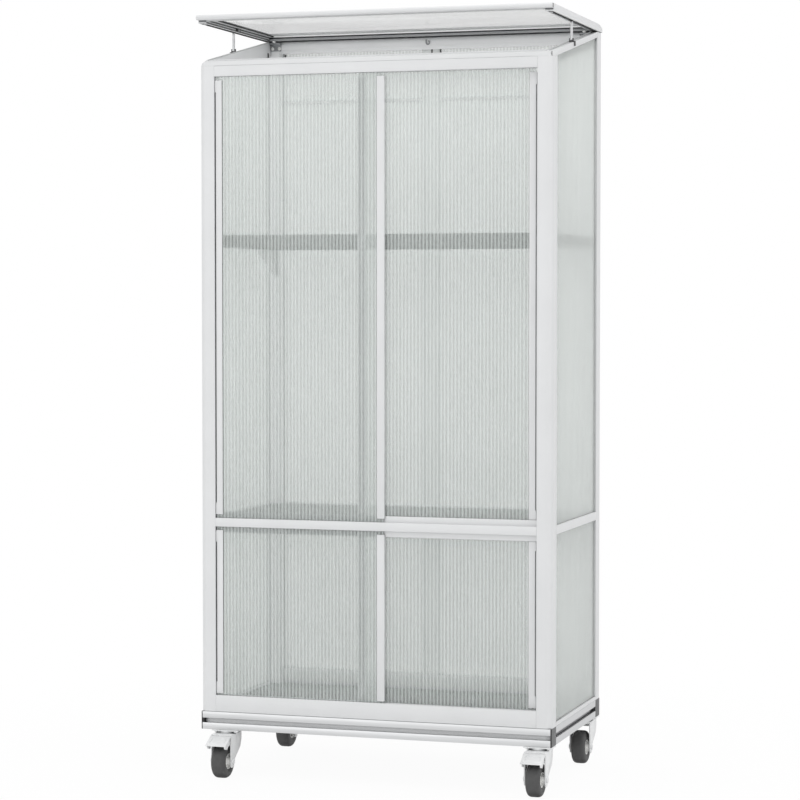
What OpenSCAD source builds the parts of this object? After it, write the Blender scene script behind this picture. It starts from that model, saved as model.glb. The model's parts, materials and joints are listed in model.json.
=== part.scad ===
// Balcony greenhouse: a tall glazed cabinet on castors, with sliding doors,
// a shelf, two floors and a vent lid propped open by two stays.
// Millimetres. Z up, the doors face -Y, the ground is Z = 0.

/* [Cabinet] */
// Width over the posts
cab_w = 800; // [600:10:1200]
// Depth over the posts
cab_d = 450; // [400:10:600]
// Height from the base to the seam under the roof
wall_h = 1465; // [1200:5:1800]
// Height of the mid rail's top face above the base's underside
mid_top = 470.5; // [300:0.5:700]
// Height of the shelf's top face above the base's underside
shelf_top = 1095; // [900:1:1200]
// Rise of the roof for each millimetre of depth
roof_slope = 0.2; // [0.15:0.01:0.22]

/* [Frame profiles] */
// Square T-slot profile of the base
slot_bar = 40; // [30:1:50]
// Width of a post seen from the front
post_w = 34; // [28:1:45]
// Depth of a post seen from the side
post_d = 40; // [30:1:50]
// Radius of a post's outer corner
post_r = 12; // [6:1:16]
// Wall of the hollow profiles
wall = 2; // [1.5:0.1:3]
// Height of the rail under the doors
sill_h = 37; // [25:1:50]
// Height of the mid rails
mid_h = 19; // [16:1:24]
// Height of the rail over the doors
header_h = 23.5; // [18:0.5:35]
// Depth of the front rails
rail_d = 22; // [21:1:28]
// Depth of the rear rails
rear_d = 26; // [20:1:32]
// Width of the side rails
side_w = 14; // [11:1:20]
// Height of the side sills on the base
side_sill_h = 8; // [6:0.5:14]
// Upright thickness of the roof's side rails
roof_t = 13; // [10:0.5:20]
// Depth of the roof's front rail
roof_front_d = 20; // [17:1:26]
// Height of the roof's front rail at its face
roof_face_h = 9.4; // [8:0.1:14]
// Height of the seal lip on the roof's front rail
lip_h = 2; // [1:0.5:6]
// Height of the rear top rail
rear_top_h = 19; // [18:1:35]
// Width of the upright in the rear wall
mullion_w = 41; // [30:1:60]
// Depth of the upright in the rear wall
mullion_d = 14; // [12:1:20]

/* [Panels and doors] */
// Thickness of the twin-wall panels
panel_t = 4; // [3:0.5:4.5]
// Depth of the grooves that hold the fixed panels
groove = 6; // [5:0.5:8]
// Reach of the front door leaves past the middle
front_past = 25.5; // [22:0.5:60]
// Reach of the rear door leaves past the middle
rear_past = 37.5; // [22:0.5:60]
// Width of a door stile
stile_w = 16.5; // [12:0.5:25]
// Thickness of a door stile
stile_t = 6.1; // [5:0.1:6.4]
// Depth of the door grooves at the foot
track_foot = 6; // [5:0.5:8]
// Depth of the door grooves at the head
track_head = 9.5; // [7:0.5:10]
// Height of the guide strip between the two door tracks
guide_h = 13; // [6:1:20]

/* [Floors and shelf] */
// Thickness of the bottom floor
floor_t = 3; // [2:0.5:6]
// Thickness of the mid floor
mid_floor_t = 4; // [2:0.5:6]
// Height of the shelf's folded edge
shelf_h = 26.5; // [15:0.5:40]
// Thickness of the shelf's sheet
shelf_t = 1.5; // [1:0.1:3]
// Gap between the shelf and the posts
shelf_gap = 5; // [2:1:10]

/* [Lid] */
// Thickness of the lid
lid_t = 17; // [16:0.5:24]
// Overhang of the lid in front of the cabinet
lid_over = 18; // [8:1:30]
// Width of the lid's side rails
lid_side_w = 18.5; // [17:0.5:26]
// Depth of the lid's rear rail
lid_rear_d = 60; // [56:1:80]
// Depth of the lid's front rail
lid_front_d = 16; // [10:1:24]
// Height of the lid's front rail
lid_front_h = 10.5; // [9:0.5:14]
// Thickness of the lid's pane
pane_t = 4; // [3:0.5:5]
// Height of the seal between the shut lid and the roof
seal_h = 2.5; // [2:0.1:4]
// Distance of the stays from the cabinet's front
stay_y = 190; // [150:1:240]
// Diameter of a stay's rod
stay_d = 6; // [5:0.5:6.5]

/* [Castors] */
// Diameter of a wheel
wheel_d = 75; // [60:1:80]
// Width of a tyre
tyre_w = 32; // [24:1:34]
// Height of a castor with its plate
castor_h = 104; // [102:1:125]
// Distance from a castor's pivot to its axle
trail = 32; // [30:1:45]
// Distance of the left castors' pivots from the cabinet's side
castor_left_in = 55; // [31:1:80]
// Distance of the right castors' pivots from the cabinet's side
castor_right_in = 31; // [31:1:80]

/* [Hidden] */
$fn = 48;
eps = 0.01;
run_gap = 0.05;        // radial clearance of a turning fit
slide_gap = 0.4;       // clearance of a sliding door in its groove
face_gap = 0.3;        // clearance between pieces that pass each other
clear = 0.5;           // clearance at a panel's free edge

// The object's box is centred on the origin, so the cabinet stands a little back.
wheel_r = wheel_d / 2;
pedal_past = 6.5;      // reach of a brake pedal in front of its wheel
pedal_reach = trail + wheel_r + pedal_past;
front_reach = pedal_reach - slot_bar / 2;
lid_back = 2;          // overhang of the lid behind the cabinet
front_y = (front_reach - lid_back - cab_d) / 2;

half_w = cab_w / 2;
base_z = castor_h;
base_top = base_z + slot_bar;
seam_z = base_z + wall_h;
roof_angle = atan(roof_slope);
roof_z0 = seam_z + roof_face_h;
post_in = half_w - post_w;
rear_post_y = cab_d - post_d;
rear_top_z = roof_z0 + roof_slope * rear_post_y;
sill_top = base_top + sill_h;
mid_z1 = base_z + mid_top;
mid_z0 = mid_z1 - mid_h;
header_z = seam_z - header_h;
rear_rail_y = cab_d - rear_d;

// Depths of the two door tracks, from the cabinet's front
front_stile_y = 2.8;
guide_y = front_stile_y + stile_t + slide_gap;
guide_t = 2.4;
rear_stile_y = guide_y + guide_t + slide_gap;
leaf_panel_dy = (stile_t - panel_t) / 2;
door_gap = 0.5;        // gap between a shut front leaf and its post
rear_door_gap = 3.5;   // gap between a shut rear leaf and its post
stile_lift = 8;        // height of a stile's foot above the rail it runs on
stile_drop = 8.5;      // gap between a stile's head and the rail above
stile_wall = 2.5;      // web of a stile outside its panel
pull_w = 2.5;          // finger rebate along a stile's outer edge
pull_d = 3;
pull_end = 26;         // plain length at each end of the finger rebate

side_panel_x = half_w - side_w / 2 - panel_t / 2;
rear_panel_in = 10;    // depth of the rear panels' front faces inside the rear face
rear_panel_y = cab_d - rear_panel_in;
strip_h = 5;
strip_t = 3.5;
strip_down = 61;       // drop of the joint strip's foot below the front of the roof
strip_z = roof_z0 - strip_down;

// Lid: level as it stands open, parallel to the roof when shut
knuckle_r = 4;
pin_r = 1.8;
side_over = 1.5;       // overhang of the lid at each side
heel_gap = 1.5;        // gap that the rear seal fills under the open lid
lid_z = rear_top_z + heel_gap;
hinge_z = lid_z - knuckle_r - clear;
hinge_y = (hinge_z - roof_z0 + ((lid_z - hinge_z) - seal_h) * sqrt(1 + roof_slope * roof_slope))
    / roof_slope;
lid_half = half_w + side_over;
lid_y0 = -lid_over;
lid_y1 = cab_d + lid_back;
lid_top = lid_z + lid_t;
pane_down = 1.5;       // depth of the pane below the lid's top
pane_z = lid_top - pane_down - pane_t;
pane_bite = 3;
lid_in = lid_half - lid_side_w;
lid_front_y1 = lid_y0 + lid_front_d;
lid_rear_y0 = lid_y1 - lid_rear_d;
gasket_w = 3;
gasket_h = 2;
front_seal_z = lid_z + 2;

// Stays: pivoted on the roof's side rails, lying in the lid's channels when it is shut
stay_r = stay_d / 2;
channel_w = stay_d + 3;
channel_h = 12.5;
stay_in = 6.5;         // distance of a stay's middle inside the cabinet's side
stay_x = half_w - stay_in;
stay_pin_r = 1.5;
stay_rise = 5;         // pin's height above the roof rail, square to it
stay_pin_y = stay_y - stay_rise * sin(roof_angle);
stay_pin_z = roof_z0 + roof_slope * stay_y + stay_rise * cos(roof_angle);
stay_len = lid_z + face_gap - stay_pin_z;
cheek_t = 1;
saddle_t = 1.2;
saddle_len = 12;
tab_h = 9;

// Hinges
hinge_w = 25.5;
hinge_in = half_w - side_w - clear;  // outer end of a hinge
leaf_t = 1.5;
screw_r = 3.2;
screw_t = 1.2;

// Castors, from their pivot
plate_t = 3;
plate_l = 62;
plate_w = 38;
race_r = 19;
race_h = 4.5;
king_r = 5;
crown_z = castor_h - plate_t - race_h - face_gap;
crown_t = 3.5;
crown_back = 21;
cheek_front = trail + 10;    // front of the crown and the cheeks
cheek_w = 2.5;
cheek_brow = 16;       // upright length of a cheek's rear edge under the crown
eye_r = 13.5;          // reach of a cheek below its axle
fork_gap = tyre_w / 2 + 5.5;  // half the inner width of a fork
fork_half = fork_gap + cheek_w;
axle_r = 4;
nut_r = 6;             // axle's end outside a cheek
nut_t = 3;
boss_r = 9;
hub_r = 17;
hub_w = tyre_w - 4;
pedal_pin_r = 2.5;
pedal_pin_y = -8;
pedal_pin_z = (wheel_d + crown_z - crown_t) / 2;  // halfway between the tyre and the crown
pedal_t = 2;
pedal_gap = 2.7;       // gap between the released brake shoe and its tyre
castor_x = [castor_left_in - half_w, half_w - castor_right_in];
castor_ys = [slot_bar / 2, cab_d - slot_bar / 2];

silver = "gainsboro";
clear_grey = [0.78, 0.83, 0.82, 0.6];
dark = "dimgray";

// Places a shape whose Y is measured back from the cabinet's front
module cabinet() translate([0, front_y, 0]) children();

// A shape and its mirror image on the other side
module both_sides() {
    children();
    mirror([1, 0, 0]) children();
}

// A block between two corners
module block(low, high) translate(low) cube(high - low);

// An outline in Y and Z, extruded between two X values
module side_prism(x0, x1, points)
    translate([x0, 0, 0]) rotate([90, 0, 90]) linear_extrude(x1 - x0) polygon(points);

// A round rod along X
module x_rod(x0, x1, y, z, r)
    translate([x0, y, z]) rotate([0, 90, 0]) cylinder(h = x1 - x0, r = r);

// Roof heights at a depth
function roof_at(y) = roof_z0 + roof_slope * y;

// Everything above the underside of the roof frame
module above_roof_frame()
    side_prism(-cab_w, cab_w, [
        [-clear, seam_z],
        [(seam_z - roof_z0 + roof_t) / roof_slope, seam_z],
        [cab_d + clear, roof_at(cab_d + clear) - roof_t],
        [cab_d + clear, roof_at(cab_d) + wall_h],
        [-clear, roof_at(cab_d) + wall_h]]);

/* Base */

module slot_profile() {
    mouth = 10;
    lips = 4.5;
    chamber = 18;
    deep = 5;
    difference() {
        square(slot_bar, center = true);
        for (turn = [0 : 90 : 270])
            rotate(turn) translate([slot_bar / 2, 0]) {
                translate([-lips, -mouth / 2]) square([lips + eps, mouth]);
                translate([-lips - deep, -chamber / 2]) square([deep, chamber]);
            }
        circle(r = 4);
    }
}

cap_t = 2.5;

module base_long_bars() color(silver) cabinet()
    for (y = [slot_bar / 2, cab_d - slot_bar / 2])
        translate([cap_t - half_w, y, base_z + slot_bar / 2])
            rotate([90, 0, 90]) linear_extrude(cab_w - 2 * cap_t) slot_profile();

module base_side_bars() color(silver) cabinet() both_sides()
    translate([half_w - slot_bar / 2, cab_d - slot_bar, base_z + slot_bar / 2])
        rotate([90, 0, 0]) linear_extrude(cab_d - 2 * slot_bar) slot_profile();

module base_end_caps() color(dark) cabinet() both_sides()
    for (y = [0, cab_d - slot_bar])
        block([half_w - cap_t, y, base_z], [half_w, y + slot_bar, base_top]);

// Corner piece, from the inner corner of two bars towards -X and towards way
module corner_bracket(way) {
    leg = 34;
    foot = 5;
    bracket_h = 17;
    translate([0, 0, -bracket_h / 2]) linear_extrude(bracket_h)
        polygon([[0, 0], [-leg, 0], [-leg, way * foot], [-foot, way * leg], [0, way * leg]]);
}

module base_corner_brackets() color(silver) cabinet() both_sides()
    translate([half_w - slot_bar, 0, base_z + slot_bar / 2]) {
        translate([0, slot_bar, 0]) corner_bracket(1);
        translate([0, cab_d - slot_bar, 0]) corner_bracket(-1);
    }

// A floor sheet that fills the frame between its four posts
module floor_sheet(z0, z1, y0, y1) {
    block([-post_in + face_gap, y0, z0], [post_in - face_gap, y1, z1]);
    block([-half_w + side_w + face_gap, post_d + face_gap, z0],
        [half_w - side_w - face_gap, rear_post_y - face_gap, z1]);
}

module bottom_floor() color("gray") cabinet()
    floor_sheet(base_top, base_top + floor_t, rail_d + face_gap, rear_rail_y - face_gap);

/* Posts and rails */

module corner_square(w, d, r) {
    translate([0, r]) square([w, d - r]);
    square([w - r, r]);
    translate([w - r, r]) circle(r = r);
}

// Right-hand front post, its rounded corner outwards
module front_post_profile() {
    core = post_w - side_w;
    slot = panel_t + slide_gap;
    difference() {
        corner_square(post_w, post_d, post_r);
        translate([wall, wall]) square([core - wall, post_d - 2 * wall]);
        translate([post_w - side_w / 2 - slot / 2, post_d - groove])
            square([slot, groove + eps]);
    }
}

module front_right_post() color(silver) cabinet() difference() {
    translate([post_in, 0, base_top]) linear_extrude(roof_at(post_d) - base_top)
        front_post_profile();
    above_roof_frame();
}

module front_left_post() mirror([1, 0, 0]) front_right_post();

module rear_post_profile() {
    slot = panel_t + slide_gap;
    difference() {
        translate([0, post_d]) mirror([0, 1]) corner_square(post_w, post_d, post_r / 2);
        translate([groove + wall, groove + wall])
            square([post_w - groove - 2 * wall, post_d - groove - 2 * wall]);
        translate([post_w - side_w / 2 - slot / 2, -eps]) square([slot, groove + eps]);
        translate([-eps, rear_panel_y - rear_post_y - slide_gap / 2])
            square([groove + eps, slot]);
    }
}

module rear_right_post() color(silver) cabinet()
    translate([post_in, rear_post_y, base_top]) linear_extrude(rear_top_z - base_top)
        rear_post_profile();

module rear_left_post() mirror([1, 0, 0]) rear_right_post();

// A groove for both door tracks, cut from z0 to z1
module door_grooves(z0, z1)
    for (y = [front_stile_y, rear_stile_y])
        block([-post_in - eps, y + leaf_panel_dy - slide_gap, z0],
            [post_in + eps, y + leaf_panel_dy + panel_t + slide_gap, z1]);

module front_rail(z0, z1) block([-post_in, 0, z0], [post_in, rail_d, z1]);

module front_bottom_rail() color(silver) cabinet() difference() {
    front_rail(base_top, sill_top);
    door_grooves(sill_top - track_foot, sill_top + eps);
    block([-post_in - eps, wall, base_top + wall],
        [post_in + eps, rail_d - wall, sill_top - track_foot - wall]);
}

ledge_d = 10;
ledge_t = 3;
mid_floor_z = mid_z1 - mid_floor_t;

module front_mid_rail() color(silver) cabinet() {
    difference() {
        front_rail(mid_z0, mid_z1);
        door_grooves(mid_z1 - track_foot, mid_z1 + eps);
        door_grooves(mid_z0 - eps, mid_z0 + track_head);
    }
    block([-post_in, guide_y, mid_z1], [post_in, guide_y + guide_t, mid_z1 + guide_h]);
    block([-post_in, guide_y, mid_z0 - guide_h], [post_in, guide_y + guide_t, mid_z0]);
    block([-post_in, rail_d, mid_floor_z - ledge_t],
        [post_in, rail_d + ledge_d, mid_floor_z]);
}

head_lift = 12;        // depth of the door grooves in the header

module front_header_rail() color(silver) cabinet() difference() {
    front_rail(header_z, seam_z);
    door_grooves(header_z - eps, header_z + head_lift);
    block([-post_in - eps, wall, header_z + head_lift + wall],
        [post_in + eps, rail_d - wall, seam_z - wall]);
}

side_slot = panel_t + slide_gap;
side_bite = 5;

// Groove for the side panels
module side_groove(z0, z1)
    block([side_panel_x - slide_gap / 2, post_d - eps, z0],
        [side_panel_x - slide_gap / 2 + side_slot, rear_post_y + eps, z1]);

module side_sills() color(silver) cabinet() both_sides() difference() {
    block([half_w - side_w, post_d, base_top],
        [half_w, rear_post_y, base_top + side_sill_h]);
    side_groove(base_top + side_sill_h - side_bite, base_top + side_sill_h + eps);
}

module side_mid_rails() color(silver) cabinet() both_sides() {
    difference() {
        block([half_w - side_w, post_d, mid_z0], [half_w, rear_post_y, mid_z1]);
        side_groove(mid_z1 - side_bite, mid_z1 + eps);
        side_groove(mid_z0 - eps, mid_z0 + side_bite);
    }
    block([half_w - side_w - ledge_d, post_d, mid_floor_z - ledge_t],
        [half_w - side_w, rear_post_y, mid_floor_z]);
}

/* Roof frame */

// Plan of the whole roof frame, with the posts' rounded front corners
module roof_plan() {
    corner_square(half_w, rear_post_y, post_r);
    mirror([1, 0]) corner_square(half_w, rear_post_y, post_r);
}

// Plan of the front rail between its mitres
module front_rail_plan()
    polygon([[-half_w, 0], [half_w, 0], [half_w - side_w, roof_front_d],
        [-half_w + side_w, roof_front_d]]);

module roof_slab() intersection() {
    above_roof_frame();
    side_prism(-cab_w, cab_w, [[-clear, 0], [cab_d, 0], [cab_d, roof_at(cab_d)],
        [-clear, roof_at(-clear)]]);
}

lip_in = 4;            // distance of the lip's ends inside the side rails
lip_y = 12;

module roof_front_rail() color(silver) cabinet() {
    intersection() {
        translate([0, 0, base_top]) linear_extrude(wall_h + cab_d) intersection() {
            roof_plan();
            front_rail_plan();
        }
        roof_slab();
    }
    side_prism(-half_w + side_w + lip_in, half_w - side_w - lip_in, [
        [lip_y, roof_at(lip_y)],
        [roof_front_d, roof_at(roof_front_d)],
        [roof_front_d, roof_at(roof_front_d) + lip_h],
        [lip_y, roof_at(lip_y) + lip_h]]);
}

// Inner skirt of a roof side rail, beside the side panel
module roof_skirt(x0) {
    skirt_t = 2;
    skirt_h = 20;
    top0 = roof_at(post_d) - roof_t;
    top1 = roof_at(rear_post_y) - roof_t;
    side_prism(x0, x0 + skirt_t, [[post_d, top0 - skirt_h], [rear_post_y, top1 - skirt_h],
        [rear_post_y, top1 + eps], [post_d, top0 + eps]]);
}

module roof_side_rails() {
    bite = 5;
    inner = half_w - side_w;
    color(silver) cabinet() both_sides() roof_skirt(inner);
    color(silver) cabinet() both_sides() difference() {
        intersection() {
            translate([0, 0, base_top]) linear_extrude(wall_h + cab_d) difference() {
                intersection() {
                    roof_plan();
                    translate([inner, 0]) square([side_w, rear_post_y]);
                }
                front_rail_plan();
            }
            roof_slab();
        }
        side_prism(side_panel_x - slide_gap / 2, side_panel_x - slide_gap / 2 + side_slot, [
            [post_d - bite - clear, roof_at(post_d - bite - clear) - roof_t - eps],
            [rear_post_y + eps, roof_at(rear_post_y) - roof_t - eps],
            [rear_post_y + eps, roof_at(rear_post_y) - roof_t + bite],
            [post_d - bite - clear, roof_at(post_d - bite - clear) - roof_t + bite]]);
    }
}

module roof_seal() {
    lip_w = 2.4;
    end_gap = 12;
    side_h = (seal_h - face_gap) / cos(roof_angle);
    y0 = roof_front_d + clear;
    y1 = rear_post_y - end_gap;
    x0 = half_w - side_w + face_gap;
    color("black") cabinet() {
        both_sides() side_prism(x0, x0 + lip_w, [[y0, roof_at(y0)], [y1, roof_at(y1)],
            [y1, roof_at(y1) + side_h], [y0, roof_at(y0) + side_h]]);
        block([-post_in, cab_d - 3 * lip_w, rear_top_z],
            [post_in, cab_d - 2 * lip_w, lid_z - face_gap]);
    }
}

/* Rear wall */

module rear_rail(y0, z0, z1) block([-post_in, y0, z0], [post_in, cab_d, z1]);

// Groove for the rear panels
module rear_groove(z0, z1)
    block([-post_in - eps, rear_panel_y - slide_gap / 2, z0],
        [post_in + eps, rear_panel_y + panel_t + slide_gap / 2, z1]);

rear_head_z = rear_top_z - rear_top_h;

module rear_rails() color(silver) cabinet() {
    difference() {
        rear_rail(rear_rail_y, base_top, sill_top);
        rear_groove(sill_top - side_bite, sill_top + eps);
    }
    difference() {
        rear_rail(rear_rail_y, mid_z0, mid_z1);
        rear_groove(mid_z1 - side_bite, mid_z1 + eps);
        rear_groove(mid_z0 - eps, mid_z0 + side_bite);
    }
    block([-post_in, rear_rail_y - ledge_d, mid_floor_z - ledge_t],
        [post_in, rear_rail_y, mid_floor_z]);
    difference() {
        rear_rail(rear_post_y, rear_head_z, rear_top_z);
        rear_groove(rear_head_z - eps, rear_head_z + side_bite);
        block([-post_in - eps, rear_post_y + wall, rear_head_z + wall],
            [post_in + eps, rear_panel_y - 2 * wall, rear_top_z - wall]);
    }
}

module rear_mullion() color(silver) cabinet()
    for (span = [[sill_top, mid_z0], [mid_z1, rear_head_z]]) difference() {
        block([-mullion_w / 2, cab_d - mullion_d, span[0]],
            [mullion_w / 2, cab_d, span[1]]);
        both_sides() block([mullion_w / 2 - side_bite, rear_panel_y - slide_gap / 2,
            span[0] - eps], [mullion_w / 2 + eps, rear_panel_y + panel_t + slide_gap / 2,
            span[1] + eps]);
    }

module rear_panels() {
    bite = side_bite - clear;
    color(clear_grey) cabinet() both_sides()
        for (span = [[sill_top, mid_z0], [mid_z1, rear_head_z]])
            block([mullion_w / 2 - bite, rear_panel_y, span[0] - bite],
                [post_in + bite, rear_panel_y + panel_t, span[1] + bite]);
}

module rear_joint_strip() color(silver) cabinet() both_sides()
    block([mullion_w / 2, rear_panel_y - strip_t, strip_z],
        [post_in, rear_panel_y, strip_z + strip_h]);

module rear_hook() {
    wire = 1.2;
    bend = 4;
    shank = 6;
    hook_z = rear_head_z + bend + 3;
    color("gray") cabinet() translate([0, rear_post_y - wire, hook_z]) {
        rotate([90, 0, 0]) rotate([0, 0, 180]) rotate_extrude(angle = 250)
            translate([bend, 0]) circle(r = wire, $fn = 16);
        translate([-bend, 0, 0]) cylinder(h = shank, r = wire, $fn = 16);
    }
}

/* Side panels */

module side_panels() {
    bite = side_bite - clear;
    y0 = post_d - bite;
    y1 = rear_post_y + bite;
    x0 = side_panel_x;
    color(clear_grey) cabinet() both_sides() {
        side_prism(x0, x0 + panel_t, [[y0, base_top + side_sill_h - bite],
            [y1, base_top + side_sill_h - bite], [y1, mid_z0 + bite], [y0, mid_z0 + bite]]);
        side_prism(x0, x0 + panel_t, [[y0, mid_z1 - bite], [y1, mid_z1 - bite],
            [y1, roof_at(y1) - roof_t + bite], [y0, roof_at(y0) - roof_t + bite]]);
    }
}

/* Doors */

// Panel of a leaf that starts at x0
module leaf_panel(x0, leaf_w, stile_y, z0, z1)
    block([x0 + stile_wall, stile_y + leaf_panel_dy, z0],
        [x0 + leaf_w - stile_wall, stile_y + leaf_panel_dy + panel_t, z1]);

// Channel stile, its closed edge at x0 and its mouth towards +X
module stile(x0, stile_y, z0, z1) difference() {
    block([x0, stile_y, z0], [x0 + stile_w, stile_y + stile_t, z1]);
    block([x0 + stile_wall, stile_y + leaf_panel_dy, z0 - eps],
        [x0 + stile_w + eps, stile_y + leaf_panel_dy + panel_t, z1 + eps]);
}

// Both stiles of a leaf; the outer one has a finger rebate
module leaf_stiles(x0, leaf_w, stile_y, z0, z1, pull_left) {
    pull_x = pull_left ? x0 - eps : x0 + leaf_w - pull_w;
    difference() {
        union() {
            stile(x0, stile_y, z0, z1);
            translate([2 * x0 + leaf_w, 0, 0]) mirror([1, 0, 0])
                stile(x0, stile_y, z0, z1);
        }
        block([pull_x, stile_y - eps, z0 + pull_end],
            [pull_x + pull_w + eps, stile_y + pull_d, z1 - pull_end]);
    }
}

left_leaf_x = -post_in + door_gap;
right_leaf_x = -rear_past;
front_leaf_w = front_past - left_leaf_x;
rear_leaf_w = post_in - rear_door_gap - right_leaf_x;

foot_play = 1;         // gap between a leaf's foot and the floor of its groove
head_play = 2;         // gap over a leaf's head, which lets it be lifted out
upper_panel = [mid_z1 - track_foot + foot_play, header_z + head_lift - head_play];
upper_stile = [mid_z1 + stile_lift, header_z - stile_drop];
lower_panel = [sill_top - track_foot + foot_play, mid_z0 + track_head - head_play];
lower_stile = [sill_top + stile_lift / 2, mid_z0 - stile_lift];

module left_leaf_panel(span) color(clear_grey) cabinet()
    leaf_panel(left_leaf_x, front_leaf_w, front_stile_y, span[0], span[1]);

module left_leaf_stiles(span) color(silver) cabinet()
    leaf_stiles(left_leaf_x, front_leaf_w, front_stile_y, span[0], span[1], true);

module right_leaf_panel(span) color(clear_grey) cabinet()
    leaf_panel(right_leaf_x, rear_leaf_w, rear_stile_y, span[0], span[1]);

module right_leaf_stiles(span) color(silver) cabinet()
    leaf_stiles(right_leaf_x, rear_leaf_w, rear_stile_y, span[0], span[1], false);

/* Mid floor and shelf */

module mid_floor() color("gray") cabinet()
    floor_sheet(mid_floor_z, mid_z1, rail_d + face_gap, rear_rail_y - face_gap);

shelf_z = base_z + shelf_top;
shelf_x = half_w - side_w - clear;
shelf_y0 = post_d + shelf_gap;
shelf_y1 = rear_post_y - shelf_gap;

module shelf() color("darkgray") cabinet() difference() {
    block([-shelf_x, shelf_y0, shelf_z - shelf_h], [shelf_x, shelf_y1, shelf_z]);
    block([-shelf_x + shelf_t, shelf_y0 + shelf_t, shelf_z - shelf_h - eps],
        [shelf_x - shelf_t, shelf_y1 - shelf_t, shelf_z - shelf_t]);
}

module shelf_supports() {
    under = shelf_z - shelf_h;
    plate = 3;
    arm_w = 14;
    front_reach_in = 14;
    front_drop = 24;
    reach = 110;
    drop = 62;
    x0 = post_in + wall;
    x1 = x0 + arm_w;
    web_x = x0 + (arm_w - plate) / 2;
    back = rear_post_y;
    color("darkgray") cabinet() both_sides() {
        block([x0, post_d, under - plate], [x1, post_d + front_reach_in, under]);
        block([x0, post_d, under - front_drop], [x1, post_d + plate, under]);
        block([x0, back - reach, under - plate], [x1, back, under]);
        block([x0, back - plate, under - drop], [x1, back, under]);
        side_prism(web_x, web_x + plate, [
            [back - reach, under - eps], [back - eps, under - eps], [back - eps, under - drop + plate],
            [back - 4 * plate, under - drop + plate], [back - reach, under - 4 * plate]]);
    }
}

/* Lid */

module lid_front_profile() {
    nose = lid_front_h / 2;
    translate([nose, 0]) square([lid_front_d - nose, lid_front_h]);
    translate([nose, nose]) circle(r = nose);
}

module lid_cross_rails() color(silver) cabinet() {
    difference() {
        translate([-lid_half, lid_y0, lid_top - lid_front_h]) rotate([90, 0, 90])
            linear_extrude(2 * lid_half) lid_front_profile();
        block([-lid_in - pane_bite, lid_front_y1 - pane_bite, pane_z],
            [lid_in + pane_bite, lid_front_y1 + eps, pane_z + pane_t]);
    }
    difference() {
        block([-lid_in, lid_rear_y0, lid_z], [lid_in, lid_y1, lid_top]);
        block([-lid_in - eps, lid_rear_y0 - eps, pane_z],
            [lid_in + eps, lid_rear_y0 + pane_bite, pane_z + pane_t]);
        block([-lid_in - eps, lid_rear_y0 + pane_bite + wall, lid_z + wall],
            [lid_in + eps, lid_y1 - wall, lid_top - wall]);
    }
}

module lid_side_rails() color(silver) cabinet() both_sides() difference() {
    block([lid_in, lid_front_y1, lid_z], [lid_half, lid_y1, lid_top]);
    block([lid_in - eps, lid_front_y1 - eps, pane_z],
        [lid_in + pane_bite, lid_rear_y0 + pane_bite, pane_z + pane_t]);
    block([stay_x - channel_w / 2, lid_front_y1 + wall, lid_z - eps],
        [stay_x + channel_w / 2, rear_post_y - 3 * wall, lid_z + channel_h]);
}

module lid_pane() color([0.75, 0.8, 0.82, 0.35]) cabinet()
    block([-lid_in - pane_bite, lid_front_y1 - pane_bite, pane_z],
        [lid_in + pane_bite, lid_rear_y0 + pane_bite, pane_z + pane_t]);

module lid_gasket() color("black") cabinet() {
    both_sides() block([lid_in - gasket_w, lid_front_y1 + gasket_w, pane_z - gasket_h],
        [lid_in, lid_rear_y0 - gasket_w, pane_z]);
    block([-lid_in, lid_rear_y0 - gasket_w, pane_z - gasket_h],
        [lid_in, lid_rear_y0, pane_z]);
    block([-lid_in, lid_front_y1, front_seal_z], [lid_in, lid_front_y1 + gasket_w, pane_z]);
}

// Round screw head that stands on a face with its axis along Z
module screw_head() cylinder(h = screw_t, r = screw_r, $fn = 24);

module lid_fittings() {
    knob_r = 3.2;
    knob_t = 3;
    catch_y = stay_pin_y + stay_r + face_gap;
    catch_d = 5;
    color("lightgray") cabinet() both_sides() {
        translate([lid_half - 5 * wall, lid_y0 + lid_front_d / 2, lid_top - lid_front_h - screw_t])
            screw_head();
        x_rod(lid_in - knob_t, lid_in, catch_y + catch_d / 2, lid_z + knob_r + clear, knob_r);
        block([stay_x - stay_r, catch_y, lid_z],
            [stay_x + stay_r, catch_y + catch_d, lid_z + channel_h]);
    }
}

/* Lid hinges */

third = hinge_w / 3;

module hinge_frame_leaves() {
    leaf_h = 18;
    screw_down = leaf_h / 2 + screw_r;
    x0 = hinge_in - hinge_w;
    color("silver") cabinet() both_sides() {
        difference() {
            union() {
                for (x = [x0, x0 + 2 * third])
                    block([x + face_gap, hinge_y, hinge_z - knuckle_r],
                        [x + third - face_gap, rear_post_y, hinge_z - knuckle_r / 2]);
                block([x0 + face_gap, rear_post_y - leaf_t, hinge_z - leaf_h],
                    [hinge_in - face_gap, rear_post_y, hinge_z - 3 * knuckle_r / 4]);
                for (x = [x0, x0 + 2 * third])
                    x_rod(x + face_gap, x + third - face_gap, hinge_y, hinge_z, knuckle_r);
            }
            x_rod(x0, hinge_in, hinge_y, hinge_z, pin_r + run_gap);
        }
        for (x = [x0 + third / 2, hinge_in - third / 2])
            translate([x, rear_post_y - leaf_t, hinge_z - screw_down])
                rotate([90, 0, 0]) screw_head();
    }
}

module hinge_pins() color("silver") cabinet() both_sides()
    x_rod(hinge_in - hinge_w, hinge_in, hinge_y, hinge_z, pin_r);

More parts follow.
